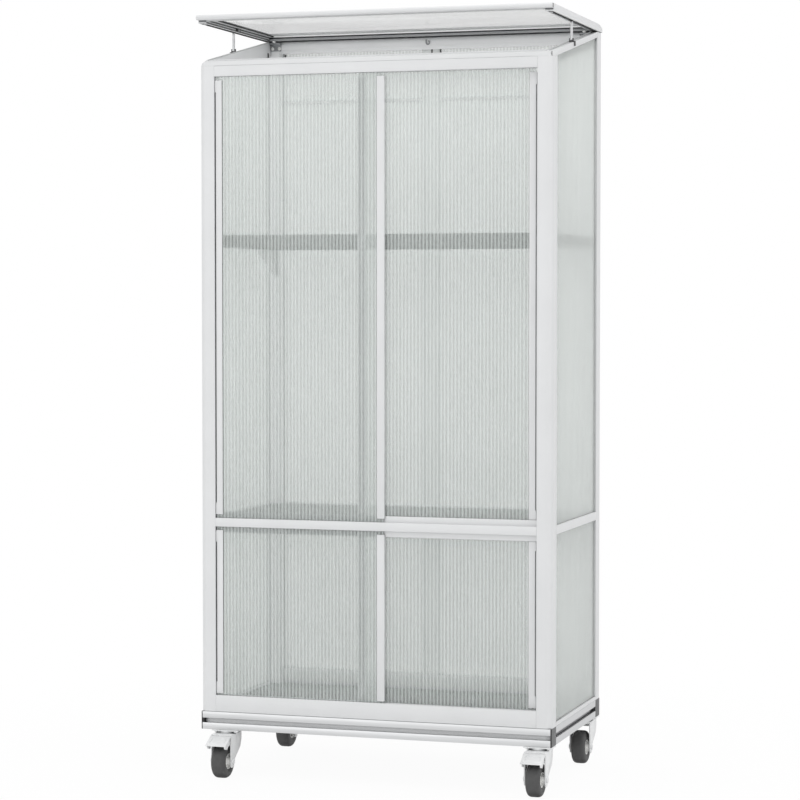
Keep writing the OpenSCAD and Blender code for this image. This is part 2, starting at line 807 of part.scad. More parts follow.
module hinge_lid_leaves() {
    x0 = hinge_in - hinge_w + third;
    y0 = lid_rear_y0 + clear;
    color("silver") cabinet() both_sides() {
        difference() {
            union() {
                block([x0 + face_gap, y0, lid_z - leaf_t], [x0 + third - face_gap, hinge_y, lid_z]);
                x_rod(x0 + face_gap, x0 + third - face_gap, hinge_y, hinge_z, knuckle_r);
            }
            x_rod(x0, x0 + third, hinge_y, hinge_z, pin_r + run_gap);
        }
        translate([x0 + third / 2, y0 + screw_r, lid_z - leaf_t - screw_t]) screw_head();
    }
}

/* Stays */

// Rod that stands on its pin at side * stay_x
module stay(side) color("lightgray") cabinet()
    translate([side * stay_x, stay_pin_y, stay_pin_z]) difference() {
        union() {
            x_rod(-stay_r, stay_r, 0, 0, stay_r);
            cylinder(h = stay_len - stay_r, r = stay_r);
            translate([0, 0, stay_len - stay_r]) sphere(r = stay_r);
        }
        x_rod(-stay_d, stay_d, 0, 0, stay_pin_r + run_gap);
    }

module stay_saddles() {
    cheek_x = stay_r + face_gap;
    top = stay_rise + 2 * stay_pin_r;
    color(dark) cabinet() both_sides()
        translate([stay_x, stay_y, roof_at(stay_y)]) rotate([roof_angle, 0, 0]) {
            for (x = [-cheek_x - cheek_t, cheek_x])
                block([x, -saddle_len / 3, 0], [x + cheek_t, saddle_len / 3, top]);
            x_rod(-cheek_x - cheek_t, cheek_x + cheek_t, 0, stay_rise, stay_pin_r);
            block([-cheek_x - cheek_t, -saddle_len / 2, 0],
                [half_w - stay_x + saddle_t, saddle_len / 2, saddle_t]);
            block([half_w - stay_x, -saddle_len / 2, -tab_h],
                [half_w - stay_x + saddle_t, saddle_len / 2, saddle_t]);
        }
}

/* Castors, drawn about their pivot and then stood under the base */

module at_castor(side, row)
    cabinet() translate([castor_x[side], castor_ys[row], 0]) children();

module castor_plates() {
    bolt_x = 23;
    bolt_y = 12;
    bolt_r = 5;
    bolt_h = race_h - 1;
    king_nut_r = king_r + 3;
    nut_z = crown_z - crown_t - face_gap - nut_t;
    color("white") cabinet() for (x = castor_x) for (y = castor_ys)
        translate([x, y, 0]) {
            block([-plate_l / 2, -plate_w / 2, castor_h - plate_t],
                [plate_l / 2, plate_w / 2, castor_h]);
            translate([0, 0, castor_h - plate_t - race_h]) cylinder(h = race_h, r = race_r);
            translate([0, 0, nut_z]) cylinder(h = castor_h - plate_t - nut_z, r = king_r);
            translate([0, 0, nut_z]) cylinder(h = nut_t, r = king_nut_r, $fn = 6);
            for (dx = [-bolt_x, bolt_x]) for (dy = [-bolt_y, bolt_y])
                translate([dx, dy, castor_h - plate_t - bolt_h])
                    cylinder(h = bolt_h, r = bolt_r, $fn = 6);
        }
}

// Side plate of a fork: upright in front, swept forward to the axle behind
module fork_cheek(x0)
    side_prism(x0, x0 + cheek_w, [[crown_back, crown_z], [-cheek_front, crown_z],
        [-cheek_front, wheel_r - eye_r / 2], [-trail - eye_r / 2, wheel_r - eye_r],
        [-trail + eye_r / 2, wheel_r - eye_r], [-trail + eye_r, wheel_r + eye_r / 3],
        [crown_back - eye_r / 2, crown_z - 2 * cheek_brow],
        [crown_back, crown_z - cheek_brow]]);

module fork() color("white") {
    difference() {
        union() {
            fork_cheek(fork_gap);
            fork_cheek(-fork_half);
            block([-fork_half, -cheek_front, crown_z - crown_t],
                [fork_half, crown_back, crown_z]);
        }
        translate([0, 0, crown_z - crown_t - eps])
            cylinder(h = crown_t + 2 * eps, r = king_r + run_gap);
    }
    x_rod(-fork_gap - eps, fork_gap + eps, -trail, wheel_r, axle_r);
    both_sides() x_rod(fork_half - eps, fork_half + nut_t, -trail, wheel_r, nut_r);
    x_rod(-fork_gap - eps, fork_gap + eps, pedal_pin_y, pedal_pin_z, pedal_pin_r);
}

module wheel_hub() {
    rim_w = 5;
    dish = 3;
    color("whitesmoke") difference() {
        union() {
            x_rod(-hub_w / 2, hub_w / 2, -trail, wheel_r, hub_r);
            x_rod(-fork_gap + face_gap, fork_gap - face_gap, -trail, wheel_r, boss_r);
        }
        x_rod(-fork_gap, fork_gap, -trail, wheel_r, axle_r + run_gap);
        both_sides() difference() {
            x_rod(hub_w / 2 - dish, hub_w / 2 + eps, -trail, wheel_r, hub_r - rim_w);
            x_rod(hub_w / 2 - dish - 1, hub_w / 2 + 1, -trail, wheel_r, boss_r);
        }
    }
}

module tyre_profile() {
    shoulder = 9;
    half = tyre_w / 2;
    translate([hub_r, -hub_w / 2]) square([wheel_r - hub_r - shoulder, hub_w]);
    translate([hub_r, -half + shoulder]) square([wheel_r - hub_r, tyre_w - 2 * shoulder]);
    intersection() {
        translate([hub_r, -half]) square([wheel_r - hub_r, tyre_w]);
        for (z = [-half + shoulder, half - shoulder])
            translate([wheel_r - shoulder, z]) circle(r = shoulder);
    }
}

module tyre() color("dimgray") translate([0, -trail, wheel_r]) rotate([0, 90, 0])
    rotate_extrude($fn = 72) tyre_profile();

// Brake pedal: a sheet in front of the crown, two flanges that turn on the fork's
// cross pin, and the shoe between them that bears on the tyre
module pedal() {
    flange_x = fork_gap - face_gap;
    flange_t = 2;
    ear_r = pedal_pin_r + 1.1;
    strap = pedal_pin_r + 0.7;
    back = -cheek_front - 2.5;
    fall = 16;             // fall of the sheet towards its front edge
    rear_z = crown_z - pedal_t;
    front_z = rear_z - fall;
    shoe_half = 6;
    shoe_z = wheel_d + pedal_gap;
    color("white") difference() {
        union() {
            side_prism(-fork_half, fork_half, [[back, rear_z - pedal_t], [back, rear_z],
                [-pedal_reach, front_z], [-pedal_reach, front_z - pedal_t]]);
            both_sides() {
                x_rod(flange_x - flange_t, flange_x, pedal_pin_y, pedal_pin_z, ear_r);
                side_prism(flange_x - flange_t, flange_x, [
                    [pedal_pin_y, pedal_pin_z - strap], [-trail - 20, wheel_d - flange_t],
                    [-trail - 26, wheel_d - fall / 2],
                    [-pedal_reach + 2 * flange_t, front_z - fall / 2],
                    [-pedal_reach + flange_t / 2, front_z - pedal_t / 2],
                    [back - flange_t / 2, rear_z - pedal_t / 2],
                    [back, pedal_pin_z + strap], [pedal_pin_y, pedal_pin_z + strap]]);
            }
            block([-flange_x + flange_t / 2, -trail - shoe_half, shoe_z],
                [flange_x - flange_t / 2, -trail + shoe_half, shoe_z + pedal_t]);
        }
        x_rod(-fork_gap, fork_gap, pedal_pin_y, pedal_pin_z, pedal_pin_r + run_gap);
    }
}

base_long_bars();
base_side_bars();
base_end_caps();
base_corner_brackets();
bottom_floor();
front_left_post();
front_right_post();
rear_left_post();
rear_right_post();
front_bottom_rail();
front_mid_rail();
front_header_rail();
side_sills();
side_mid_rails();
roof_front_rail();
roof_side_rails();
roof_seal();
rear_rails();
rear_mullion();
rear_panels();
rear_joint_strip();
rear_hook();
side_panels();
left_leaf_panel(upper_panel);  // upper_left_leaf_panel
left_leaf_stiles(upper_stile);  // upper_left_leaf_stiles
right_leaf_panel(upper_panel);  // upper_right_leaf_panel
right_leaf_stiles(upper_stile);  // upper_right_leaf_stiles
left_leaf_panel(lower_panel);  // lower_left_leaf_panel
left_leaf_stiles(lower_stile);  // lower_left_leaf_stiles
right_leaf_panel(lower_panel);  // lower_right_leaf_panel
right_leaf_stiles(lower_stile);  // lower_right_leaf_stiles
mid_floor();
shelf();
shelf_supports();
lid_cross_rails();
lid_side_rails();
lid_pane();
lid_gasket();
lid_fittings();
hinge_frame_leaves();
hinge_pins();
hinge_lid_leaves();
stay(-1);  // left_stay
stay(1);  // right_stay
stay_saddles();
castor_plates();
at_castor(0, 0) fork();  // front_left_fork
at_castor(1, 0) fork();  // front_right_fork
at_castor(0, 1) fork();  // rear_left_fork
at_castor(1, 1) fork();  // rear_right_fork
at_castor(0, 0) wheel_hub();  // front_left_wheel
at_castor(1, 0) wheel_hub();  // front_right_wheel
at_castor(0, 1) wheel_hub();  // rear_left_wheel
at_castor(1, 1) wheel_hub();  // rear_right_wheel
at_castor(0, 0) tyre();  // front_left_tyre
at_castor(1, 0) tyre();  // front_right_tyre
at_castor(0, 1) tyre();  // rear_left_tyre
at_castor(1, 1) tyre();  // rear_right_tyre
at_castor(0, 0) pedal();  // front_left_pedal
at_castor(1, 0) pedal();  // front_right_pedal
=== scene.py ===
# %% [markdown]
# # A balcony greenhouse
# The real object is a tall cabinet of pale aluminium rails and ribbed plastic
# panels. It stands on four castors and has a lid that two rods prop open.
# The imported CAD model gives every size. This lesson gives it its looks.

import json
import math

import bmesh
import bpy
from mathutils import Matrix, Vector

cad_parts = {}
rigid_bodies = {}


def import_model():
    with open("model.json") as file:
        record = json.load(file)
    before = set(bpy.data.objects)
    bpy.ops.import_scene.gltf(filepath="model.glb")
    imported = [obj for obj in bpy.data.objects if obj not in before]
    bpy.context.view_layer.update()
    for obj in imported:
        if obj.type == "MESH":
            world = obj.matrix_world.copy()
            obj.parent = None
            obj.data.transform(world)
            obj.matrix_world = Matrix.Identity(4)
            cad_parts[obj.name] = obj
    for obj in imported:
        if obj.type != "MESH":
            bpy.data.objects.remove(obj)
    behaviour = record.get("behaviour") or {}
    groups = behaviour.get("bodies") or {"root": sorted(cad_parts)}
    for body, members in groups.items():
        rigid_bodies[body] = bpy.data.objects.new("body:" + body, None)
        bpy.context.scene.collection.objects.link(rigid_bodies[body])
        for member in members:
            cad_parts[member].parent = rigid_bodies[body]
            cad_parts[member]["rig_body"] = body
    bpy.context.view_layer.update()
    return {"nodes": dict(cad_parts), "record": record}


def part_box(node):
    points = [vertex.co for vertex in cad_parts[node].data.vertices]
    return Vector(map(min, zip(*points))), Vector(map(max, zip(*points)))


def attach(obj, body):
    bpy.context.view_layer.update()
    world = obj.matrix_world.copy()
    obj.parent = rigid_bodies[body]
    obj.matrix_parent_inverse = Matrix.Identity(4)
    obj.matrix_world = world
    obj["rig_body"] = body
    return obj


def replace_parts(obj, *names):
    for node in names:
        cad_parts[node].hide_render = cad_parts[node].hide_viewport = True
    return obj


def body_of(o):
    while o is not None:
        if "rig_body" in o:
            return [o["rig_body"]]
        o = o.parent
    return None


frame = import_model()

# %% [markdown]
# ## Working in millimetres
# The drawing of a cabinet is easiest to follow in millimetres, with depth
# counted back from the doors. One helper turns such a point into Blender's
# metres, so that every later cell can use the drawing's own numbers.

# %% Points on the drawing
MM = 0.001
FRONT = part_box("front_header_rail")[0].y


def at(x, y, z):
    return Vector((x * MM, y * MM + FRONT, z * MM))


def span(node):
    low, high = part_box(node)
    return (Vector((low.x, low.y - FRONT, low.z)) / MM,
            Vector((high.x, high.y - FRONT, high.z)) / MM)


print("the cabinet's front is at y =", round(FRONT, 5))

# %% [markdown]
# ## The camera
# The photograph was taken with a long lens from a little to the right and
# almost level, which keeps the uprights parallel. A long lens far away does
# the same here.

# %% Camera
TURN, TILT = math.radians(17.586), math.radians(2.273)
CAMERA_PLACE = (1.6869, FRONT - 5.12553, 1.05368)
FOCAL_PIXELS, PHOTO_PIXELS, SENSOR_WIDTH = 2498.13, 800, 36
camera_data = bpy.data.cameras.new("camera")
camera_data.sensor_width = SENSOR_WIDTH
camera_data.lens = FOCAL_PIXELS * SENSOR_WIDTH / PHOTO_PIXELS
camera = bpy.data.objects.new("camera", camera_data)
bpy.context.scene.collection.objects.link(camera)
camera.location = CAMERA_PLACE
camera.rotation_euler = (math.pi / 2 - TILT, 0, TURN)
bpy.context.scene.camera = camera
print("lens", round(camera_data.lens, 2), "mm")

# %% [markdown]
# ## Colour and material helpers
# Colours are written as they are seen on a screen. The shader wants linear
# values, so one function turns them. A second one adds a shader node with
# its settings and its links in a single line.

# %% Helpers for finishes
DARK_END, LIGHT_END, MOTTLE_DETAIL = 0.25, 0.75, 4.0
GRAIN_DETAIL = 3.0
HOLLOW, OPEN, HOLLOW_SAMPLES = 0.25, 0.72, 6
# The Mix node's sockets for numbers and for colours have the same names, so
# the colours are reached by their places.
COLOUR_A, COLOUR_B, COLOUR_OUT = 6, 7, 2


def colour(code):
    """A colour as a screen shows it, such as #C3C9C6, in linear light."""
    def linear(value):
        return value / 12.92 if value <= 0.04045 else ((value + 0.055) / 1.055) ** 2.4
    return tuple(linear(int(code[i:i + 2], 16) / 255) for i in (1, 3, 5)) + (1.0,)


def add(tree, kind, sockets=None, **settings):
    """One shader node with its settings and what goes into its sockets."""
    made = tree.nodes.new("ShaderNode" + kind)
    for key, value in settings.items():
        setattr(made, key, value)
    for key, value in (sockets or {}).items():
        if isinstance(value, bpy.types.NodeSocket):
            tree.links.new(value, made.inputs[key])
        else:
            made.inputs[key].default_value = value
    return made


def finish(name):
    """A new material, its nodes, its shader and the place on the object."""
    material = bpy.data.materials.new(name)
    material.use_nodes = True
    tree = material.node_tree
    shader = tree.nodes["Principled BSDF"]
    place = add(tree, "TexCoord").outputs["Object"]
    return material, tree, shader, place


def mottle(tree, shader, place, light, dark, size):
    """Slow changes of tone between two close colours, as size in millimetres."""
    noise = add(tree, "TexNoise", {"Vector": place, "Scale": 1 / (size * MM),
                                   "Detail": MOTTLE_DETAIL})
    ramp = add(tree, "ValToRGB", {"Fac": noise.outputs["Fac"]})
    ends = zip(ramp.color_ramp.elements, (DARK_END, LIGHT_END), (dark, light))
    for end, position, tone in ends:
        end.position = position
        end.color = colour(tone)
    tree.links.new(ramp.outputs["Color"], shader.inputs["Base Color"])
    return ramp


def grain(tree, shader, vector, size, height, strength):
    """A bump from noise of that size, its height in millimetres."""
    noise = add(tree, "TexNoise", {"Vector": vector, "Scale": 1 / (size * MM),
                                   "Detail": GRAIN_DETAIL})
    bump = add(tree, "Bump", {"Height": noise.outputs["Fac"], "Distance": height * MM,
                              "Strength": strength})
    tree.links.new(bump.outputs["Normal"], shader.inputs["Normal"])


def shade_hollows(tree, shader, ramp, reach, tone):
    """Paints shade into slots and inner corners: the colour darkens where walls are near."""
    nearby = add(tree, "AmbientOcclusion", {"Distance": reach * MM}, samples=HOLLOW_SAMPLES)
    depth = add(tree, "ValToRGB", {"Fac": nearby.outputs["AO"]})
    depth.color_ramp.elements[0].position = HOLLOW
    depth.color_ramp.elements[0].color = colour(tone)
    depth.color_ramp.elements[1].position = OPEN
    depth.color_ramp.elements[1].color = colour("#FFFFFF")
    both = add(tree, "Mix", {"Factor": 1.0, COLOUR_A: ramp.outputs["Color"],
                             COLOUR_B: depth.outputs["Color"]},
               data_type="RGBA", blend_type="MULTIPLY")
    tree.links.new(both.outputs[COLOUR_OUT], shader.inputs["Base Color"])


print("white is", colour("#FFFFFF"))

# %% [markdown]
# ## Powder-coated aluminium
# Posts, rails and the lid's frame are extruded aluminium with a pale silver
# coat baked on as powder. The melt leaves a very fine orange peel, and the
# coat is a plastic, so the finish isn't metallic.

# %% Finish: powder-coated aluminium
def coated(name, light, dark, reach, tone):
    """A powder coat with painted shade in its hollows; reach is how near, in millimetres, a wall must
    be for shade to be painted.
    """
    material, tree, shader, place = finish(name)
    paint = mottle(tree, shader, place, light, dark, size=90)
    shade_hollows(tree, shader, paint, reach, tone)
    grain(tree, shader, place, size=1.6, height=0.02, strength=0.5)
    shader.inputs["Roughness"].default_value = 0.42
    shader.inputs["IOR"].default_value = 1.5
    return material


# The plain coat, with painted shade in its hollows.
coat = coated("powder_coated_aluminium", "#E1E2E3", "#DCDDDE", 7, "#77797B")
# A lighter copy that paints light on the rear posts' inner faces.
inside_painted_light_coat = coated("powder_coated_aluminium_painted_lighter_inside", "#F4F5F6", "#F1F2F3", 7, "#DADBDC")
# A lighter copy with a deep painted shadow from the lid, for the rear rails and their flange.
lid_shadow_coat = coated("powder_coated_aluminium_painted_lighter_with_lid_shadow", "#F3F4F5", "#EFF0F1", 24, "#8A8C8E")
# A lighter copy that paints light on the lid's frame and its beads.
lid_painted_light_coat = coated("powder_coated_aluminium_painted_lighter_on_the_lid", "#E6E7E8", "#E2E3E4", 3, "#BEC0C2")
# A grey copy that paints shade on the lid's frame.
painted_shade_coat = coated("powder_coated_aluminium_painted_shade", "#96989A", "#8E9092", 7, "#77797B")
print("finishes", coat.name, inside_painted_light_coat.name, lid_shadow_coat.name, lid_painted_light_coat.name, painted_shade_coat.name)

# %% [markdown]
# ## Anodised aluminium
# The base is made of T-slot bar. It is bare extruded aluminium with a clear
# anodised skin: a metal, with faint lines along the way it was pressed.

# %% Finish: anodised aluminium
ALONG_THE_BAR = (0.02, 1.0, 1.0)
anodised, tree, shader, place = finish("anodised_aluminium")
stretch = add(tree, "Mapping", {"Vector": place, "Scale": ALONG_THE_BAR})
bare = mottle(tree, shader, stretch.outputs["Vector"], "#D6D7D8", "#CBCCCD", size=2.5)
# Shade is painted into the bar's slots and corners.
shade_hollows(tree, shader, bare, reach=14, tone="#828385")
shader.inputs["Metallic"].default_value = 1.0
shader.inputs["Roughness"].default_value = 0.45
print("finish", anodised.name)

# %% [markdown]
# ## Twin-wall polycarbonate and acrylic
# The panels are extruded as two thin skins joined by webs. A skin lets most
# light through and is modelled as partly see-through. A web is seen along
# its length, so it scatters more light and shows as a pale stripe. What such a
# sheet hides it mostly scatters and doesn't stop, so light on its way to the
# pieces inside passes more easily than a look from outside does. The lid's
# pane is one smooth sheet of acrylic, made with the same helper.

# %% Finishes: twin-wall polycarbonate and acrylic
LIGHT_SHARE = 0.35


def plastic_skin(name, light, dark, opacity, roughness):
    """A see-through plastic; light meets only a share of its opacity."""
    material, tree, shader, place = finish(name)
    mottle(tree, shader, place, light, dark, size=120)
    path = add(tree, "LightPath")
    hides = add(tree, "MapRange", {"Value": path.outputs["Is Camera Ray"],
                                   "To Min": LIGHT_SHARE * opacity, "To Max": opacity})
    tree.links.new(hides.outputs["Result"], shader.inputs["Alpha"])
    shader.inputs["Roughness"].default_value = roughness
    shader.inputs["IOR"].default_value = 1.58
    return material


skin = plastic_skin("clear_twin_wall_polycarbonate_skin", "#C3C9C6", "#BEC4C1", 0.17, 0.25)
web = plastic_skin("clear_twin_wall_polycarbonate_web", "#DDE3E1", "#D9DFDC", 0.41, 0.3)
# The rear wall, the side walls and the rear mullion wear lighter copies of the doors' sheet: painted
# light.
rear_skin = plastic_skin("twin_wall_polycarbonate_skin_painted_lighter_at_the_rear", "#F3F6F4", "#EEF2F0", 0.28, 0.4)
wall_skin = plastic_skin("twin_wall_polycarbonate_skin_painted_lighter_at_the_sides", "#E9EDEB", "#E4E8E6", 0.155, 0.4)
wall_web = plastic_skin("twin_wall_polycarbonate_web_painted_lighter_at_the_sides", "#E9EDEB", "#E5E9E7", 0.44, 0.4)
rear_web = plastic_skin("twin_wall_polycarbonate_web_painted_lighter_at_the_rear", "#EEF1EF", "#EAEDEB", 0.44, 0.4)
joint = plastic_skin("polycarbonate_joining_profile_painted_light", "#F3F6F4", "#EFF2F1", 0.6, 0.4)
pane_finish = plastic_skin("clear_acrylic_pane", "#929696", "#8E9292", 0.24, 0.08)
# Painted light: a paler copy of the pane for its front part.
pane_painted_light = plastic_skin("clear_acrylic_pane_painted_light", "#AEB2B2", "#AAAEAE", 0.24, 0.08)
# Painted light: a white band on the pane's rear edge and on the rear rail's front face.
painted_light_band = plastic_skin("white_painted_light_band", "#F3F4F4", "#EFF0F0", 1.0, 0.5)
print("finishes", skin.name, web.name, wall_skin.name, rear_skin.name, pane_finish.name)

# %% [markdown]
# ## Rubber, steel and moulded plastic
# The lid's gasket is black EPDM rubber, and the same rubber paints shade into the channels of the
# lid's side rails. The seal along the base is grey, and the seals that the eye hardly finds are pale
# silicone. The stays are bright zinc-plated steel and the hinges brushed stainless steel. Castor forks
# are pressed steel with a white baked lacquer, the tyres a grey soft plastic moulded onto white wheel
# centres, and both have shade painted into their hollows. The end caps are dark nylon, and clips and
# catches a blacker one. The two nylons also paint shade on the caps' fronts and under the lid's rails.

# %% Finishes: rubber, silicone and steel
rubber, tree, shader, place = finish("epdm_rubber")
mottle(tree, shader, place, "#2A2A2B", "#1C1C1D", size=12)
grain(tree, shader, place, size=0.8, height=0.05, strength=0.4)
shader.inputs["Roughness"].default_value = 0.75

grey_rubber, tree, shader, place = finish("grey_epdm_rubber")
mottle(tree, shader, place, "#8E9091", "#87898A", size=20)
shader.inputs["Roughness"].default_value = 0.7

silicone, tree, shader, place = finish("pale_silicone_seal")
mottle(tree, shader, place, "#C9CBCB", "#BFC1C1", size=15)
shader.inputs["Roughness"].default_value = 0.5

steel, tree, shader, place = finish("zinc_plated_steel")
mottle(tree, shader, place, "#D0D1D2", "#B9BABC", size=6)
shader.inputs["Metallic"].default_value = 1.0
shader.inputs["Roughness"].default_value = 0.32

hinge_steel, tree, shader, place = finish("brushed_stainless_steel")
mottle(tree, shader, place, "#A5A7A9", "#97999B", size=4)
shader.inputs["Metallic"].default_value = 1.0
shader.inputs["Roughness"].default_value = 0.45

lacquer, tree, shader, place = finish("white_lacquered_steel")
paint = mottle(tree, shader, place, "#F0F1F1", "#E6E7E8", size=14)
# Shade is painted into the hollows of the lacquered steel.
shade_hollows(tree, shader, paint, reach=6, tone="#75777A")
grain(tree, shader, place, size=1.2, height=0.03, strength=0.4)
shader.inputs["Roughness"].default_value = 0.32
print("finishes", rubber.name, silicone.name, steel.name, hinge_steel.name, lacquer.name)

# %% Finishes: moulded plastics
tyre_finish, tree, shader, place = finish("grey_thermoplastic_rubber")
moulded = mottle(tree, shader, place, "#505050", "#494949", size=9)
# Shade is painted into the tyre where the fork and pedal are near.
shade_hollows(tree, shader, moulded, reach=24, tone="#3C3C3C")
grain(tree, shader, place, size=0.9, height=0.05, strength=0.5)
shader.inputs["Roughness"].default_value = 0.62

hub_finish, tree, shader, place = finish("white_polypropylene")
mottle(tree, shader, place, "#F2F2F0", "#E9E9E7", size=12)
shader.inputs["Roughness"].default_value = 0.38

nylon, tree, shader, place = finish("dark_nylon")
mottle(tree, shader, place, "#6A6B6C", "#5E5F60", size=10)
grain(tree, shader, place, size=0.7, height=0.03, strength=0.5)
shader.inputs["Roughness"].default_value = 0.55

black_nylon, tree, shader, place = finish("black_nylon")
mottle(tree, shader, place, "#2B2B2C", "#232324", size=10)
shader.inputs["Roughness"].default_value = 0.5
print("finishes", tyre_finish.name, hub_finish.name, nylon.name, black_nylon.name)

# %% [markdown]
# ## Coated sheet
# The two floors are coated steel sheet, dark enough to show through the
# doors as bands. The shelf is the same sheet, folded at its edges, and a
# little darker.

# %% Finishes: coated sheet
floor_finish, tree, shader, place = finish("grey_coated_sheet")
mottle(tree, shader, place, "#4A4C4C", "#454747", size=40)
grain(tree, shader, place, size=2.0, height=0.05, strength=0.4)
shader.inputs["Roughness"].default_value = 0.5

shelf_finish, tree, shader, place = finish("dark_grey_coated_sheet")
mottle(tree, shader, place, "#434545", "#3E4040", size=40)
grain(tree, shader, place, size=2.0, height=0.05, strength=0.4)
shader.inputs["Roughness"].default_value = 0.45
print("finishes", floor_finish.name, shelf_finish.name)

# %% [markdown]
# ## Dressing the CAD pieces
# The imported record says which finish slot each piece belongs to, so the
# pieces whose CAD shape is already right only need the matching material.

# %% Materials on the CAD pieces
BY_SLOT = {"coated_frame": coat, "slot_bar": anodised, "dark_plastic": nylon,
           "floor_sheet": floor_finish, "shelf_sheet": shelf_finish, "twin_wall": skin,
           "lid_sheet": pane_finish, "rubber": rubber, "bright_steel": steel,
           "white_steel": lacquer, "wheel_plastic": hub_finish, "tyre": tyre_finish}
# The rear rails wear the lighter coat with the lid's painted shadow, and the rear mullion a pale
# joining profile that paints light.
BY_NODE = {"roof_seal": silicone, "stay_saddles": black_nylon, "rear_rails": lid_shadow_coat,
           "hinge_frame_leaves": hinge_steel, "hinge_lid_leaves": hinge_steel,
           "shelf_supports": coat, "rear_hook": hinge_steel, "rear_mullion": joint}
slot_of = {part["node"]: part["material_slot"] for part in frame["record"]["subparts"]}
for name, obj in frame["nodes"].items():
    obj.data.materials.clear()
    obj.data.materials.append(BY_NODE.get(name, BY_SLOT[slot_of[name]]))
print("dressed", len(slot_of), "pieces")

# %% [markdown]
# ## Making a new piece
# Each new piece is built in a bmesh, gets its materials, and rides on the
# body that carries it. Its place is in its mesh, as for the CAD pieces. Two
# faces that meet at less than an angle, in degrees, are shaded as one surface.

# %% Helper: a bmesh becomes a piece
CRISP, MOULDED, DOMED = 40, 50, 60


def piece(name, bm, body, slot, *finishes, soften=None):
    """Turns a bmesh into an object that rides on a body and wears its finishes."""
    bmesh.ops.recalc_face_normals(bm, faces=bm.faces)
    mesh = bpy.data.meshes.new(name)
    bm.to_mesh(mesh)
    bm.free()
    if soften is not None:
        mesh.shade_smooth()
        mesh.set_sharp_from_angle(angle=math.radians(soften))
    for made in finishes:
        mesh.materials.append(made)
    obj = bpy.data.objects.new(name, mesh)
    bpy.context.scene.collection.objects.link(obj)
    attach(obj, body)
    print("made", name, len(mesh.polygons), "faces")
    return obj


# %% [markdown]
# ## Rounding the frame's edges
# No extruded rail has a razor edge. The CAD shapes are exact but sharp, so a
# copy of each is merged into whole faces and its long edges are rounded. Where
# two rails meet flush, the two roundings leave the fine seam line that is
# seen on the real frame.

# %% Frame pieces with rounded edges
ALONG = {"x": Vector((1, 0, 0)), "y": Vector((0, 1, 0)), "z": Vector((0, 0, 1))}
# Corners nearer than MERGE, in millimetres, become one. An edge is rounded
# where its faces meet at more than SHARP and it runs along a named axis.
MERGE, FLAT, SHARP, PARALLEL = 0.005, math.radians(1), math.radians(35), 0.97
FRONT_CASTORS = ("front_left", "front_right")
CASTORS = FRONT_CASTORS + ("rear_left", "rear_right")
DOORS = ("upper_left", "upper_right", "lower_left", "lower_right")
FORK_EASE, PEDAL_EASE, STILE_EASE = 0.9, 0.5, 0.4
RAIL_EASES = (("front_header_rail", 0.9, "x"), ("front_mid_rail", 0.6, "x"),
              ("front_bottom_rail", 0.9, "x"), ("roof_front_rail", 0.9, "x"),
              ("base_long_bars", 0.9, "x"), ("base_side_bars", 0.9, "y"),
              ("side_mid_rails", 0.6, "y"), ("side_sills", 0.6, "y"),
              ("front_left_post", 0.5, "z"), ("front_right_post", 0.5, "z"),
              ("rear_left_post", 0.5, "z"), ("rear_right_post", 0.5, "z"),
              ("rear_rails", 0.6, "x"), ("rear_mullion", 0.5, "z"),
              ("base_end_caps", 0.8, "xyz"), ("shelf", 0.5, "xyz"),
              ("roof_side_rails", 0.6, "xyz"), ("lid_cross_rails", 0.6, "xyz"),
              ("lid_side_rails", 0.6, "xyz"), ("castor_plates", 0.4, "xyz"),
              ("lid_pane", 0.3, "xyz"))


def eased(node, radius, along="xyz"):
    """Stands in for a CAD node: the same shape, its edges rounded in mm."""
    source = frame["nodes"][node]
    bm = bmesh.new()
    bm.from_mesh(source.data)
    bmesh.ops.remove_doubles(bm, verts=bm.verts, dist=MERGE * MM)
    bmesh.ops.dissolve_limit(bm, angle_limit=FLAT, verts=bm.verts, edges=bm.edges)
    before = bm.calc_volume()
    sharp = []
    for edge in bm.edges:
        if len(edge.link_faces) == 2 and edge.calc_face_angle() > SHARP:
            way = (edge.verts[1].co - edge.verts[0].co).normalized()
            if along == "xyz" or any(abs(way.dot(ALONG[axis])) > PARALLEL for axis in along):
                sharp.append(edge)
    bmesh.ops.bevel(bm, geom=sharp, offset=radius * MM, offset_type="OFFSET", segments=2,
                    profile=0.5, affect="EDGES", clamp_overlap=True, material=-1)
    print(node, "lost", round(100 * (1 - bm.calc_volume() / before), 2), "% of its volume")
    slot = slot_of[node]
    made = piece(node + "_eased", bm, source["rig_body"], slot, BY_NODE.get(node, BY_SLOT[slot]),
                 soften=CRISP)
    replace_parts(made, node)
    return made


rounded = {node: eased(node, radius, along) for node, radius, along in RAIL_EASES}
for castor in CASTORS:
    eased(castor + "_fork", FORK_EASE)
for castor in FRONT_CASTORS:
    eased(castor + "_pedal", PEDAL_EASE)
for door in DOORS:
    eased(door + "_leaf_stiles", STILE_EASE)

# %% [markdown]
# ## One piece, two finishes
# Some faces of a piece wear another finish: the end caps' fronts are painted black as shade, and the
# lid's rails are painted with shade in the channel where the stays lie, on their undersides and in
# bands of painted light and shade. The mesh is cut where the finish changes, and the faces inside a
# box of the drawing are given the new material. Where two mitred rails of the roof meet, their corners
# are cut off at a slant in the same manner.

